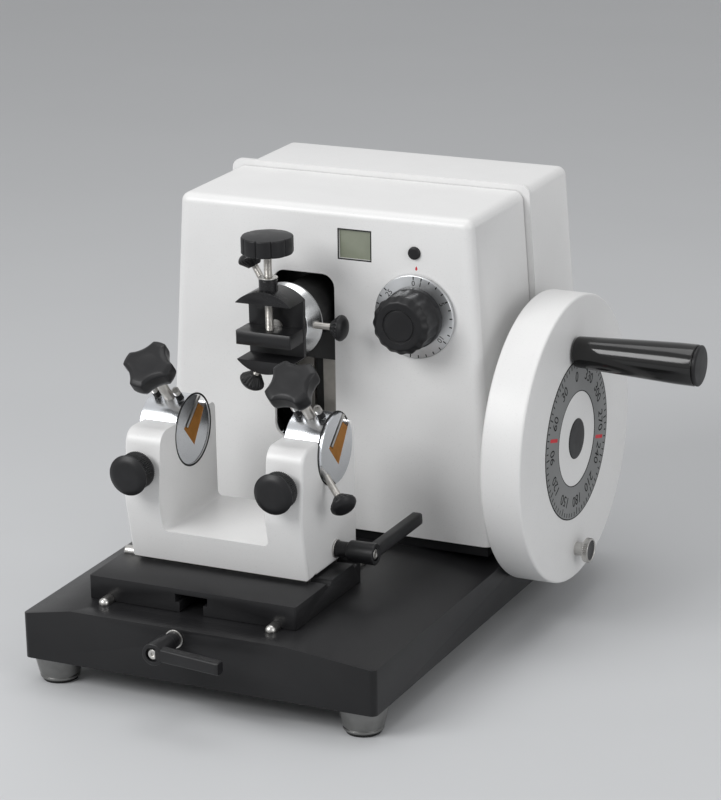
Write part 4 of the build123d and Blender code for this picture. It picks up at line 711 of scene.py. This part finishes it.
def lock_knob(side, rim):
    """Locking knob on a tower's front: knurled band to height rim, and a dome."""
    front = place_of((TOWERS[side], TOWER_FRONT, LOCK_Z), (0, -1, 0), (1, 0, 0))
    band_profile = rounded(
        [(0, 2.0), (12.7, 2.0), (13.2, 2.6), (13.2, rim - 0.4), (0, rim - 0.4)], [0.3, 0.4, 0.2]
    )
    band = knurled(band_profile, front, teeth=60, depth=0.6, low=1.2, high=rim)
    dome = rounded(
        [(0, rim - 0.8), (13.9, rim - 0.8), (14.5, rim - 0.2), (14.5, rim + 1.0), (10.5, rim + 3.5),
         (0, rim + 4.2)],
        [0.4, 0.4, 1.6, 5.0], steps=7,
    )
    cap = turned(dome, front, 96)
    stem = turned([(0, 0), (4, 0), (4, -29.0), (0, -29.0)], front, 32)
    piece(f"{side}_lock_dome", joined(band, cap, stem), f"{side}_lock", KNOB,
          [f"{side}_lock_knob"], angle=45)


star_knob("left", math.radians(-8))
lock_knob("left", rim=16.2)
star_knob("right", math.radians(45))
lock_knob("right", rim=13.0)

# Slanting thumb screw of the right drum, at 45 degrees to the drum's axis
PAD_ANGLE = math.radians(42.3)
PAD_OFF = 21.4
pad_y, pad_z = -math.sin(PAD_ANGLE), -math.cos(PAD_ANGLE)
pad_start = (TOWER_FACES[1] + 0.6, DRUM_Y + PAD_OFF * pad_y, DRUM_Z + PAD_OFF * pad_z)
pad_place = place_of(pad_start, (1.0, pad_y, pad_z))
piece("pad_thumb_grip", thumb(20.0, pad_place, r=9.6), "pad_thumb_screw", KNOB,
      ["pad_screw"], angle=50)
pad_stem = threaded(THUMB_STEM_R, low=-8.8, high=20.5, place=pad_place, pitch=0.8, depth=0.25)
piece("pad_thumb_stem", pad_stem, "pad_thumb_screw", STEEL_Z, angle=60)


# Specimen head
def cup_profile():
    """Cup's outline: the ball's round seat, a conical front and a rim."""
    drop = BALL_Y - CUP_FRONT
    angle = np.linspace(math.asin(drop / SOCKET_R), -math.radians(40), 10)
    seat = np.stack([SOCKET_R * np.cos(angle), BALL_Y - SOCKET_R * np.sin(angle)], axis=1)
    mouth = math.sqrt(SOCKET_R**2 - drop**2)
    outside = rounded(
        [(mouth, CUP_FRONT), (21.2, CUP_FRONT), (CUP_R, CUP_BACK - 1.5), (CUP_R, CUP_BACK),
         (NECK_R + 0.1, CUP_BACK)],
        [0.6, 0.3, 0.3],
    )
    inside = [(12.0, CUP_BACK + 3.6), (seat[-1, 0], seat[-1, 1] + 0.5)]
    return np.concatenate([seat[::-1], outside, inside])


head_place = place_of((AXIS_X, 0, HEAD_Z), (0, 1, 0), (1, 0, 0))
piece("chromed_cup", turned(cup_profile(), head_place, 120, closed=True), "slide", CUP_METAL,
      ["specimen_cup"])
neck_start = CUP_BACK + 0.2
neck = rounded([(0, neck_start), (NECK_R, neck_start), (NECK_R, NECK_END), (0, NECK_END)], [0.8, 0.3])
piece("cup_neck", turned(neck, head_place, 96), "slide", IRON)


def cup_screw(label, degrees, reach):
    """One of the cup's thumb screws, at an angle round the cup and with its reach."""
    a = math.radians(degrees)
    where = place_of((AXIS_X, CUP_SCREW_Y, HEAD_Z), (math.cos(a), 0, math.sin(a)), (0, 1, 0))
    piece(f"cup_grip_{label}", thumb(reach - 5.5, where), f"screw_{label}", KNOB,
          [f"cup_screw_{label}"], angle=50)
    stem = threaded(THUMB_STEM_R, low=18.4, high=reach - 5.0, place=where, pitch=0.8, depth=0.22)
    piece(f"cup_stem_{label}", stem, f"screw_{label}", STEEL_Z, angle=60)


cup_screw("right", degrees=0, reach=43.3)
cup_screw("upper", degrees=120, reach=50.5)
cup_screw("lower", degrees=240, reach=53.8)

# Clamp: bush, jaw screw and jaw knob
up = place_of((AXIS_X, CLAMP_Y, HEAD_Z), (0, 0, 1), (1, 0, 0))
bush = rounded(
    [(3.05, 20.6), (6.75, 20.6), (6.75, 36.6), (6.2, 37.0), (6.2, 38.2), (3.05, 38.2)],
    [0, 0.4, 0.2, 0.3],
)
piece("bush_collar", turned(bush, up, 64, closed=True), "clamp", BLACKED,
      ["collar_bush"])
rim = rounded([(3.3, 38.0), (6.9, 38.0), (6.9, 38.9), (3.3, 38.9)], [0.3, 0.3])
piece("bush_rim", turned(rim, up, 64, closed=True), "clamp", STEEL)
jaw_thread = threaded(r=2.98, low=-5.6, high=60.0, place=up, pitch=1.0, depth=0.35)
piece("jaw_screw_thread", jaw_thread, "clamp_spindle", STEEL_Z, ["jaw_screw"], angle=60)
knob = rounded(
    [(0, 56.0), (8.0, 56.0), (17.8, 56.2), (18.6, 57.0), (18.6, 67.9), (18.0, 68.6), (9.0, 69.4),
     (0, 69.6)],
    [0.5, 0.6, 0.6, 0.4, 0.4, 4.0], steps=6,
)
jaw_grip = fluted(knob, up, flutes=10, depth=1.15, low=55.8, high=68.9, turns=240, sharp=0.32)
piece("jaw_grip", jaw_grip, "clamp_spindle", KNOB, ["jaw_knob"], angle=50)

# Micron dial and its knob
dial_place = place_of((DIAL_X, case_front(DIAL_Z) - 0.6, DIAL_Z), (0, -1, 0), (1, 0, 0))
disc = rounded([(3.9, 0), (30.4, 0), (30.4, 2.6), (29.9, 3.0), (3.9, 3.0)], [0.3, 0.3, 0.2])
piece("dial_disc", turned(disc, dial_place, 144, closed=True), "thickness_dial",
      DIAL_METAL, ["micron_dial"])


def micron_grip(low, high, place):
    """Micron knob: shallow scallops round a waisted grip on a plain skirt.

    R = r - deep * (1 - cos(count * u)) / 2 on the grip, and r on the skirt and the
    middle.
    """
    count, deep = 16, 0.85
    profile = rounded(
        [(0, low), (22.0, low), (22.0, low + 4.6), (21.3, low + 6.4), (20.9, low + 14.0),
         (21.5, low + 20.0), (21.5, high - 3.6), (17.5, high), (12.3, high), (11.9, high - 0.9),
         (11.2, high - 0.9), (10.9, high - 0.3), (0, high - 0.1)],
        [0.3, 0.9, 1.2, 3.0, 2.0, 3.4, 1.2, 0.3, 0.2, 0.2, 0.2], steps=6,
    )

    def shape(u, r, h):
        grip = np.clip((h - low - 5.6) / 2.5, 0, 1) * np.clip((r - 17.0) / 3.0, 0, 1)
        return r - deep * grip * (1 - np.cos(count * u)) / 2

    return turned(profile, place, 192, shape)


micron_shape = micron_grip(low=3.0, high=29.0, place=dial_place)
piece("micron_grip", micron_shape, "thickness_dial", KNOB, ["micron_knob"], angle=45)


def bars(angles, r0, r1, width, low, thick, place):
    """Flat bars that point outwards, each at its own angle on a disc.

    A bar is eight corners: radius r0 or r1, half a width to each side, and height
    low or low + thick, turned by its angle.
    """
    origin, x, y, z = place
    a = np.asarray(angles, float)[:, None]
    r = np.array([0, 0, 1, 1, 0, 0, 1, 1])[None, :]
    s = np.array([-1, 1, 1, -1, -1, 1, 1, -1])[None, :] * width / 2
    h = np.array([0, 0, 0, 0, 1, 1, 1, 1])[None, :] * thick + low
    near = np.broadcast_to(np.asarray(r0, float).reshape(-1, 1), a.shape)
    far = np.broadcast_to(np.asarray(r1, float).reshape(-1, 1), a.shape)
    out = near + (far - near) * r
    px = out * np.cos(a) - s * np.sin(a)
    py = out * np.sin(a) + s * np.cos(a)
    points = origin + px[..., None] * x + py[..., None] * y + h[..., None] * z
    quad = np.array([
        [0, 3, 2, 1], [4, 5, 6, 7], [0, 1, 5, 4], [1, 2, 6, 5], [2, 3, 7, 6], [3, 0, 4, 7],
    ])
    faces = (np.arange(len(a))[:, None, None] * 8 + quad[None]).reshape(-1, 4)
    return points.reshape(-1, 3), faces


def numerals(words, angles, radius, size, height, place):
    """Numbers printed on a disc, tops outwards, as thin raised shapes."""
    origin, x, y, z = place
    points, faces, start = [], [], 0
    for word, a in zip(words, angles):
        curve = bpy.data.curves.new("numeral", "FONT")
        curve.body = word
        curve.size = size
        curve.align_x = "CENTER"
        curve.align_y = "CENTER"
        curve.extrude = 0.04
        curve.resolution_u = 4
        holder = bpy.data.objects.new("numeral", curve)
        bpy.context.scene.collection.objects.link(holder)
        bpy.context.view_layer.update()
        outline = holder.evaluated_get(bpy.context.evaluated_depsgraph_get())
        mesh = bpy.data.meshes.new_from_object(outline)
        co = np.zeros(len(mesh.vertices) * 3)
        mesh.vertices.foreach_get("co", co)
        co = co.reshape(-1, 3)
        out = math.cos(a) * x + math.sin(a) * y
        right = math.sin(a) * x - math.cos(a) * y
        spot = origin + radius * out + height * z
        points.append(spot + co[:, :1] * right + co[:, 1:2] * out + co[:, 2:] * z)
        faces += [[v + start for v in poly.vertices] for poly in mesh.polygons]
        start += len(co)
        bpy.data.objects.remove(holder)
        bpy.data.meshes.remove(mesh)
        bpy.data.curves.remove(curve)
    return np.concatenate(points), faces


def print_piece(name, data, body, material):
    """Raised print that rides on a body."""
    points, faces = data
    mesh = bpy.data.meshes.new(name)
    mesh.from_pydata(((points - BENCH) / 1000.0).tolist(), [], faces)
    work = bmesh.new()
    work.from_mesh(mesh)
    bmesh.ops.remove_doubles(work, verts=work.verts, dist=1e-7)
    bmesh.ops.recalc_face_normals(work, faces=work.faces)
    work.to_mesh(mesh)
    work.free()
    mesh.materials.append(material)
    obj = bpy.data.objects.new(name, mesh)
    bpy.context.scene.collection.objects.link(obj)
    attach(obj, body)
    return obj


# Print on the dial: 0 to 25, with long ticks where a number stands
NAMED = (0, 1, 5, 10, 15, 20, 25)
steps = np.arange(26)
tick_start = np.where(np.isin(steps, NAMED), 27.2, 27.7)
tick_angles = math.pi / 2 - steps * DIAL_STEP
ticks = bars(tick_angles, tick_start, 29.8, width=0.85, low=2.98, thick=0.07, place=dial_place)
piece("dial_marks", ticks, "thickness_dial", INK)
named_at = [math.pi / 2 - n * DIAL_STEP for n in NAMED]
dial_words = numerals(
    [str(n) for n in NAMED], named_at, radius=24.6, size=5.4, height=3.03, place=dial_place
)
print_piece("dial_numbers", dial_words, "thickness_dial", INK)


def index_drop(sides=24):
    """Red drop on the casing: x = wide cos(u) (1 - point sin(u)), z = tall sin(u)."""
    wide, tall, point = 0.75, 1.5, 0.35
    proud, thick = 0.09, 0.2
    u = np.linspace(0, TAU, sides, endpoint=False)
    x = MARK_X + wide * np.cos(u) * (1 - point * np.sin(u))
    z = MARK_Z + tall * np.sin(u)
    front = np.stack([x, case_front(z) - proud, z], axis=1)
    back = front + np.array((0, thick, 0))
    centre = np.stack([front.mean(0), back.mean(0)])
    here = np.arange(sides)
    after = (here + 1) % sides
    mid = np.full(sides, 2 * sides)
    fan_front = np.stack([here, after, mid, mid], axis=1)
    fan_back = np.stack([after + sides, here + sides, mid + 1, mid + 1], axis=1)
    faces = np.concatenate([grid_faces(2, sides), fan_front, fan_back])
    return np.concatenate([front, back, centre]), faces


piece("index_mark", index_drop(), "frame", RED)


# Levers
def lever_parts(reach, place):
    """Clamping lever: waisted hub, arm, plated ring and cap screw.

    The arm is a rounded rectangle, |x / a| ** power + |y / b| ** power = 1, that
    narrows a little from the hub to a blunt end and leans outwards.
    """
    origin, x, y, z = place
    hub_profile = rounded(
        [(0, 1.4), (5.7, 1.4), (5.7, 10.2), (7.5, 11.4), (7.8, 31.0), (7.2, 31.4), (5.0, 31.4),
         (5.0, 28.8), (0, 28.8)],
        [0.3, 0.5, 0.8, 0.5, 0.2, 0.3, 0.1],
    )
    hub = turned(hub_profile, place, 72)
    start, sides, power = 2.0, 32, 5
    hub_mid, lean = 26.9, math.radians(8)
    share = np.concatenate([[0.0, 0.0], np.linspace(0, 1, 14), [1.0, 1.0]])[:, None]
    half_wide = 4.9 - 0.4 * share
    half_thick = 4.0
    swell = np.ones_like(share)
    swell[0], swell[-1] = 0.0, 0.0
    swell[-2] = 0.90
    along = start + (reach - start) * share
    along[-3] -= 0.9
    u = np.arange(sides)[None, :] * TAU / sides
    round_x = np.sign(np.cos(u)) * np.abs(np.cos(u)) ** (2 / power)
    round_y = np.sign(np.sin(u)) * np.abs(np.sin(u)) ** (2 / power)
    mid = hub_mid + math.tan(lean) * (along - start)
    points = (
        origin + along[..., None] * x
        + (half_wide * swell * round_x)[..., None] * y
        + (mid + half_thick * swell * round_y)[..., None] * z
    )
    arm = points.reshape(-1, 3), grid_faces(len(share), sides)
    washer = rounded([(4.1, 0.05), (6.6, 0.05), (6.6, 1.4), (4.1, 1.4)], [0.4, 0.3])
    ring = turned(washer, place, 64, closed=True)
    screw = socket_head(r=3.5, tall=2.4, place=place, low=28.4)
    return hub, arm, ring, screw


def make_lever(name, body, node, reach, place, shaft_to):
    """One lever, its ring and screw, and the shaft that runs on into the machine."""
    hub, arm, ring, screw = lever_parts(reach, place)
    piece(f"{name}_grip", joined(hub, arm), body, LEVER, [node], angle=40)
    shaft = turned([(0, 1.5), (ROD_R, 1.5), (ROD_R, -shaft_to), (0, -shaft_to)], place, 40)
    piece(f"{name}_ring", joined(ring, screw, shaft), body, STEEL, angle=40)


front_lever_place = place_of((-14.6, 0, 51.9), (0, -1, 0), (1, 0, 0))
make_lever("front_lever", "saddle_lever", "front_lever", 53.0, front_lever_place, shaft_to=84.0)
SIDE_RISE = math.radians(6.8)
side_lever_place = place_of(
    (TOWER_FACES[1], 112, 88), (1, 0, 0), (0, math.cos(SIDE_RISE), math.sin(SIDE_RISE))
)
make_lever("side_lever", "holder_lever", "side_lever", 61.0, side_lever_place, shaft_to=36.0)


# Handwheel and its printed ring, with heights outwards from the wheel's face
wheel_face = place_of((WHEEL_FACE, WHEEL_Y, WHEEL_Z), (1, 0, 0), (0, 0, 1))
boss_back = -WHEEL_THICK - BOSS_THICK
rim_profile = rounded(
    [(8.1, boss_back), (22.0, boss_back), (22.0, -WHEEL_THICK), (WHEEL_R, -WHEEL_THICK), (WHEEL_R, 0),
     (14.9, 0), (14.9, -3.8), (8.1, -3.8)],
    [0.5, 0.8, 2.2, 2.2, 0.15, 0, 0], steps=8,
)
piece("painted_wheel", turned(rim_profile, wheel_face, 256, closed=True), "drive_wheel",
      WHEEL_WHITE, ["handwheel"])
cap_profile = rounded([(0, -3.7), (14.85, -3.7), (14.85, 0.15), (14.3, 0.5), (0, 0.5)], [0.1, 0.3, 0.4])
piece("shaft_cap", turned(cap_profile, wheel_face, 96), "drive_wheel", KNOB, ["hub_cap"])


def flat_ring(inner, outer, low, high):
    """Thin ring on the wheel's face between two radii and two heights."""
    profile = rounded([(inner, low), (outer, low), (outer, high), (inner, high)], [0.05, 0.1])
    return turned(profile, wheel_face, 192, closed=True)


PRINT_LOW = 0.23
PRINT_TALL = 0.09
band = flat_ring(35.0, 59.2, -0.1, 0.25)
piece("ring_label", band, "drive_wheel", RING_GREY)
band_edges = joined(flat_ring(58.7, 59.5, -0.05, 0.32), flat_ring(34.7, 35.3, -0.05, 0.32))
piece("ring_edges", band_edges, "drive_wheel", INK)
marks = np.arange(72)
tick_start = np.where(marks % 6 == 0, 52.5, 54.6)
wheel_ticks = bars(
    marks * TAU / 72, tick_start, 57.6, width=0.9, low=PRINT_LOW, thick=PRINT_TALL, place=wheel_face
)
piece("ring_ticks", wheel_ticks, "drive_wheel", INK)
twelfths = range(12)
wheel_words = numerals(
    [str(n * 30) for n in twelfths], [n * TAU / 12 for n in twelfths], radius=46.2, size=11.0,
    height=0.3, place=wheel_face,
)
print_piece("ring_numbers", wheel_words, "drive_wheel", INK)
red_at = [math.radians(-105), math.radians(75)]
red_bars = bars(red_at, 38.5, 52.0, width=2.6, low=PRINT_LOW, thick=PRINT_TALL, place=wheel_face)
piece("ring_red_marks", red_bars, "drive_wheel", RED)

# Grip: a long swelling handle with a slightly domed end cap behind a groove
handle = place_of((WHEEL_FACE + HANDLE_GAP, HANDLE_Y, HANDLE_Z), (1, 0, 0), (0, 0, 1))
grip_profile = rounded(
    [(5.06, 0), (10.4, 0), (11.2, 1.2), (13.4, 44.0), (14.8, 77.0), (14.9, 90.0), (14.2, 90.6),
     (5.06, 90.6)],
    [0.5, 1.0, 22, 6, 0.5, 0.2], steps=6,
)
piece("turned_grip", turned(grip_profile, handle, 128, closed=True), "grip", GLOSS,
      ["handle_grip"])
end_cap = rounded(
    [(0, 90.0), (13.6, 90.0), (13.6, 91.4), (14.7, 91.8), (14.7, 92.8), (13.4, 93.6), (0, 94.3)],
    [0.1, 0.2, 0.3, 0.5, 1.0], steps=6,
)
piece("grip_end_cap", turned(end_cap, handle, 96), "grip", KNOB)

# Wheel locking screw with its knurled head and dark dished face
lock = place_of((WHEEL_FACE, WHEEL_Y, WHEEL_Z - LOCK_SCREW_DOWN), (1, 0, 0), (0, 0, 1))
shank_profile = rounded(
    [(0, -29.6), (2.45, -29.6), (2.45, -23.6), (4.95, -23.6), (4.95, 7.6), (0, 7.6)],
    [0.4, 0.1, 0.1, 0.1],
)
head_profile = rounded(
    [(0, 7.2), (8.5, 7.2), (9.0, 7.8), (9.0, 11.3), (8.5, 11.8), (7.5, 11.8), (7.2, 10.8), (0, 10.8)],
    [0.2, 0.3, 0.3, 0.3, 0.3, 0.3],
)
shank = turned(shank_profile, lock, 40)
head = knurled(head_profile, lock, teeth=40, depth=0.7, low=7.5, high=11.6)
lock_screw = joined(shank, head)
piece("lock_thumb_screw", lock_screw, "wheel_lock", STEEL_X, ["wheel_lock_screw"], angle=50)
dish = rounded([(0, 10.7), (7.15, 10.7), (7.15, 11.3), (4.0, 11.0), (0, 10.95)], [0.1, 0.2, 1.0])
piece("lock_screw_face", turned(dish, lock, 64), "wheel_lock", BLACKED)


# Seals, the display's black frame of painted recess shadow, and black rings of painted shadow in the
# gaps round the drums
def casing_line(inset):
    """Outline of the casing's cross-section at its split, inset at the sides and top."""
    top = CASE_TOP - inset
    low_half = along_case(CASE_WIDE, CASE_LOW) / 2 - inset
    top_half = along_case(CASE_WIDE, top) / 2 - inset
    return rounded([(-low_half, CASE_LOW), (-top_half, top), (top_half, top), (low_half, CASE_LOW)],
                   [7.0, 7.0], steps=8)


def split_seal():
    """Black strip between the two halves of the casing, a loop of four edges."""
    outer, inner = casing_line(0.5), casing_line(2.6)
    half_wide = 0.36
    y0, y1 = SPLIT_Y - half_wide, SPLIT_Y + half_wide
    rows = np.stack([
        np.stack([line[:, 0], line[:, 0] * 0 + y, line[:, 1]], axis=1)
        for line, y in ((outer, y0), (outer, y1), (inner, y1), (inner, y0))
    ], axis=1)
    first = np.repeat(rows[:1].mean(axis=1, keepdims=True), 4, axis=1)
    last = np.repeat(rows[-1:].mean(axis=1, keepdims=True), 4, axis=1)
    rows = np.concatenate([first, rows, last])
    return rows.reshape(-1, 3), grid_faces(len(rows), 4)


def flat_frame(cx, cz, inner, outer, proud):
    """Rectangular frame let into the casing's front: inner and outer are its sizes. Here it is a black
    band of painted shadow round the counter window's recess.
    """
    corners = np.array([(-1, -1), (1, -1), (1, 1), (-1, 1)]) / 2
    back = -0.4
    rings = []
    for size, out in ((outer, proud), (inner, proud), (inner, back), (outer, back)):
        x = cx + corners[:, 0] * size[0]
        z = cz + corners[:, 1] * size[1]
        rings.append(np.stack([x, case_front(z) - out, z], axis=1))
    return np.stack(rings).reshape(-1, 3), grid_faces(4, 4, wrap_rows=True)


piece("split_seal", split_seal(), "frame", RUBBER)
# Black band round the counter window: painted shadow of the recess's inner wall
window_shadow_shape = flat_frame(DISPLAY_X, DISPLAY_Z, inner=(24.7, 20.8), outer=(26.5, 22.6), proud=0.05)
piece("display_shadow_frame", window_shadow_shape, "frame", KNOB)
# Black rings in the towers' faces round the drums: painted shadow of the gap where each drum sits
gap_shadow_profile = [(24.9, -0.3), (26.2, -0.3), (26.2, 0.08), (24.9, 0.08)]
gap_shadow_rings = [
    turned(gap_shadow_profile, place_of((x, DRUM_Y, DRUM_Z), (1, 0, 0), (0, 1, 0)), 96, closed=True)
    for x in TOWER_FACES
]
piece("drum_gap_shadow_rings", joined(*gap_shadow_rings), "holder_block", RUBBER)

# Screws of the rear cover, and the one that shows in the window
cover_screws = []
for x in (-100.0, 100.0):
    for z in (84.0, 286.0):
        screw_place = place_of((x, along_case(CASE_REAR, z) - 0.3, z), (0, 1, 0), (1, 0, 0))
        cover_screws.append(socket_head(r=3.4, tall=2.0, place=screw_place))
piece("cover_screws", joined(*cover_screws), "frame", BLACKED, angle=40)
slide_screw_place = place_of((AXIS_X + 10.0, 228.0, 251.6), (0, -1, 0), (1, 0, 0))
slide_screw = socket_head(r=2.0, tall=1.0, place=slide_screw_place, low=-0.2)
piece("slide_screw", slide_screw, "slide", STEEL, angle=40)


# Camera at the photograph's viewing angle
def photo_camera():
    """Camera solved from the photograph, in the bench frame.

    It stands away from aim by dx to its right, dy upwards and dist backwards, and
    its focal length is in pixels of a picture that is high pixels tall.
    """
    az, el, roll = (math.radians(v) for v in (25.8554, 17.7515, -1.1509))
    aim = np.array((0.0, 200.0, 150.0))
    dx, dy, dist = 28.3272, 13.1014, 2218.069
    focal, high = 3078.139, 800.0
    sensor = 36.0
    back = np.array((math.sin(az) * math.cos(el), -math.cos(az) * math.cos(el), math.sin(el)))
    right = np.array((math.cos(az), math.sin(az), 0.0))
    up_dir = np.cross(back, right)
    r2 = math.cos(roll) * right + math.sin(roll) * up_dir
    u2 = -math.sin(roll) * right + math.cos(roll) * up_dir
    spot = aim + dx * r2 + dy * u2 + dist * back
    spot = (spot - BENCH) / 1000.0
    data = bpy.data.cameras.new("photo_camera")
    data.sensor_width = sensor
    data.lens = focal / high * sensor
    data.clip_end = 50.0
    camera = bpy.data.objects.new("photo_camera", data)
    bpy.context.scene.collection.objects.link(camera)
    camera.matrix_world = Matrix((
        (r2[0], u2[0], back[0], spot[0]),
        (r2[1], u2[1], back[1], spot[1]),
        (r2[2], u2[2], back[2], spot[2]),
        (0, 0, 0, 1),
    ))
    bpy.context.scene.camera = camera


photo_camera()


def soft_lamp(name, spot, target, size, power):
    """White rectangular soft box that faces a point, all in metres and watts."""
    data = bpy.data.lights.new(name, "AREA")
    data.shape = "RECTANGLE"
    data.size, data.size_y = size
    data.energy = power
    lamp = bpy.data.objects.new(name, data)
    bpy.context.scene.collection.objects.link(lamp)
    z = np.array(spot, float) - np.array(target, float)
    z /= np.linalg.norm(z)
    x = np.cross((0.0, 0.0, 1.0), z)
    x /= np.linalg.norm(x)
    y = np.cross(z, x)
    lamp.matrix_world = Matrix((
        (x[0], y[0], z[0], spot[0]),
        (x[1], y[1], z[1], spot[1]),
        (x[2], y[2], z[2], spot[2]),
        (0, 0, 0, 1),
    ))


MIDDLE = (0.0, 0.05, 0.15)
soft_lamp("key_box", (-0.9, -1.5, 1.35), MIDDLE, size=(1.1, 0.9), power=23.0)
soft_lamp("top_box", (-0.1, 0.2, 1.9), MIDDLE, size=(1.3, 1.0), power=8.5)
soft_lamp("side_box", (1.9, -0.7, 0.9), MIDDLE, size=(0.8, 1.2), power=8.5)


def room():
    """Pale backdrop for the eye and for reflections, and a level fill for the rest."""
    world = bpy.data.worlds.new("room")
    bpy.context.scene.world = world
    world.use_nodes = True
    tree = world.node_tree
    tree.nodes.clear()
    path = tree.nodes.new("ShaderNodeLightPath")
    seen = tree.nodes.new("ShaderNodeMath")
    seen.operation = "MAXIMUM"
    tree.links.new(path.outputs["Is Camera Ray"], seen.inputs[0])
    tree.links.new(path.outputs["Is Glossy Ray"], seen.inputs[1])
    fill = tree.nodes.new("ShaderNodeBackground")
    fill.inputs["Color"].default_value = (0.84, 0.84, 0.85, 1)
    fill.inputs["Strength"].default_value = 0.52
    pale = tree.nodes.new("ShaderNodeBackground")
    pale.inputs["Color"].default_value = (0.64, 0.645, 0.65, 1)
    pale.inputs["Strength"].default_value = 1.0
    mix = tree.nodes.new("ShaderNodeMixShader")
    out = tree.nodes.new("ShaderNodeOutputWorld")
    tree.links.new(seen.outputs[0], mix.inputs[0])
    tree.links.new(fill.outputs[0], mix.inputs[1])
    tree.links.new(pale.outputs[0], mix.inputs[2])
    tree.links.new(mix.outputs[0], out.inputs[0])


room()


def floor():
    """Plain pale floor, faintly satin."""
    f = Finish("pale_floor")
    cloud = f.noise(260, detail=3.0)
    material = f.finish(
        Base_Color=f.mix(cloud, (0.56, 0.57, 0.58), (0.60, 0.61, 0.62)),
        Roughness=0.55 + 0.08 * cloud,
    )
    count = 13
    side = np.linspace(-6.0, 6.0, count)
    gx, gy = np.meshgrid(side, side)
    points = np.stack([gx, gy, gx * 0], axis=-1).reshape(-1, 3)
    mesh = bpy.data.meshes.new("floor")
    mesh.from_pydata(points.tolist(), [], grid_faces(count, count, wrap_cols=False).tolist())
    mesh.materials.append(material)
    obj = bpy.data.objects.new("floor", mesh)
    bpy.context.scene.collection.objects.link(obj)


floor()
bpy.context.scene.view_settings.view_transform = "Standard"
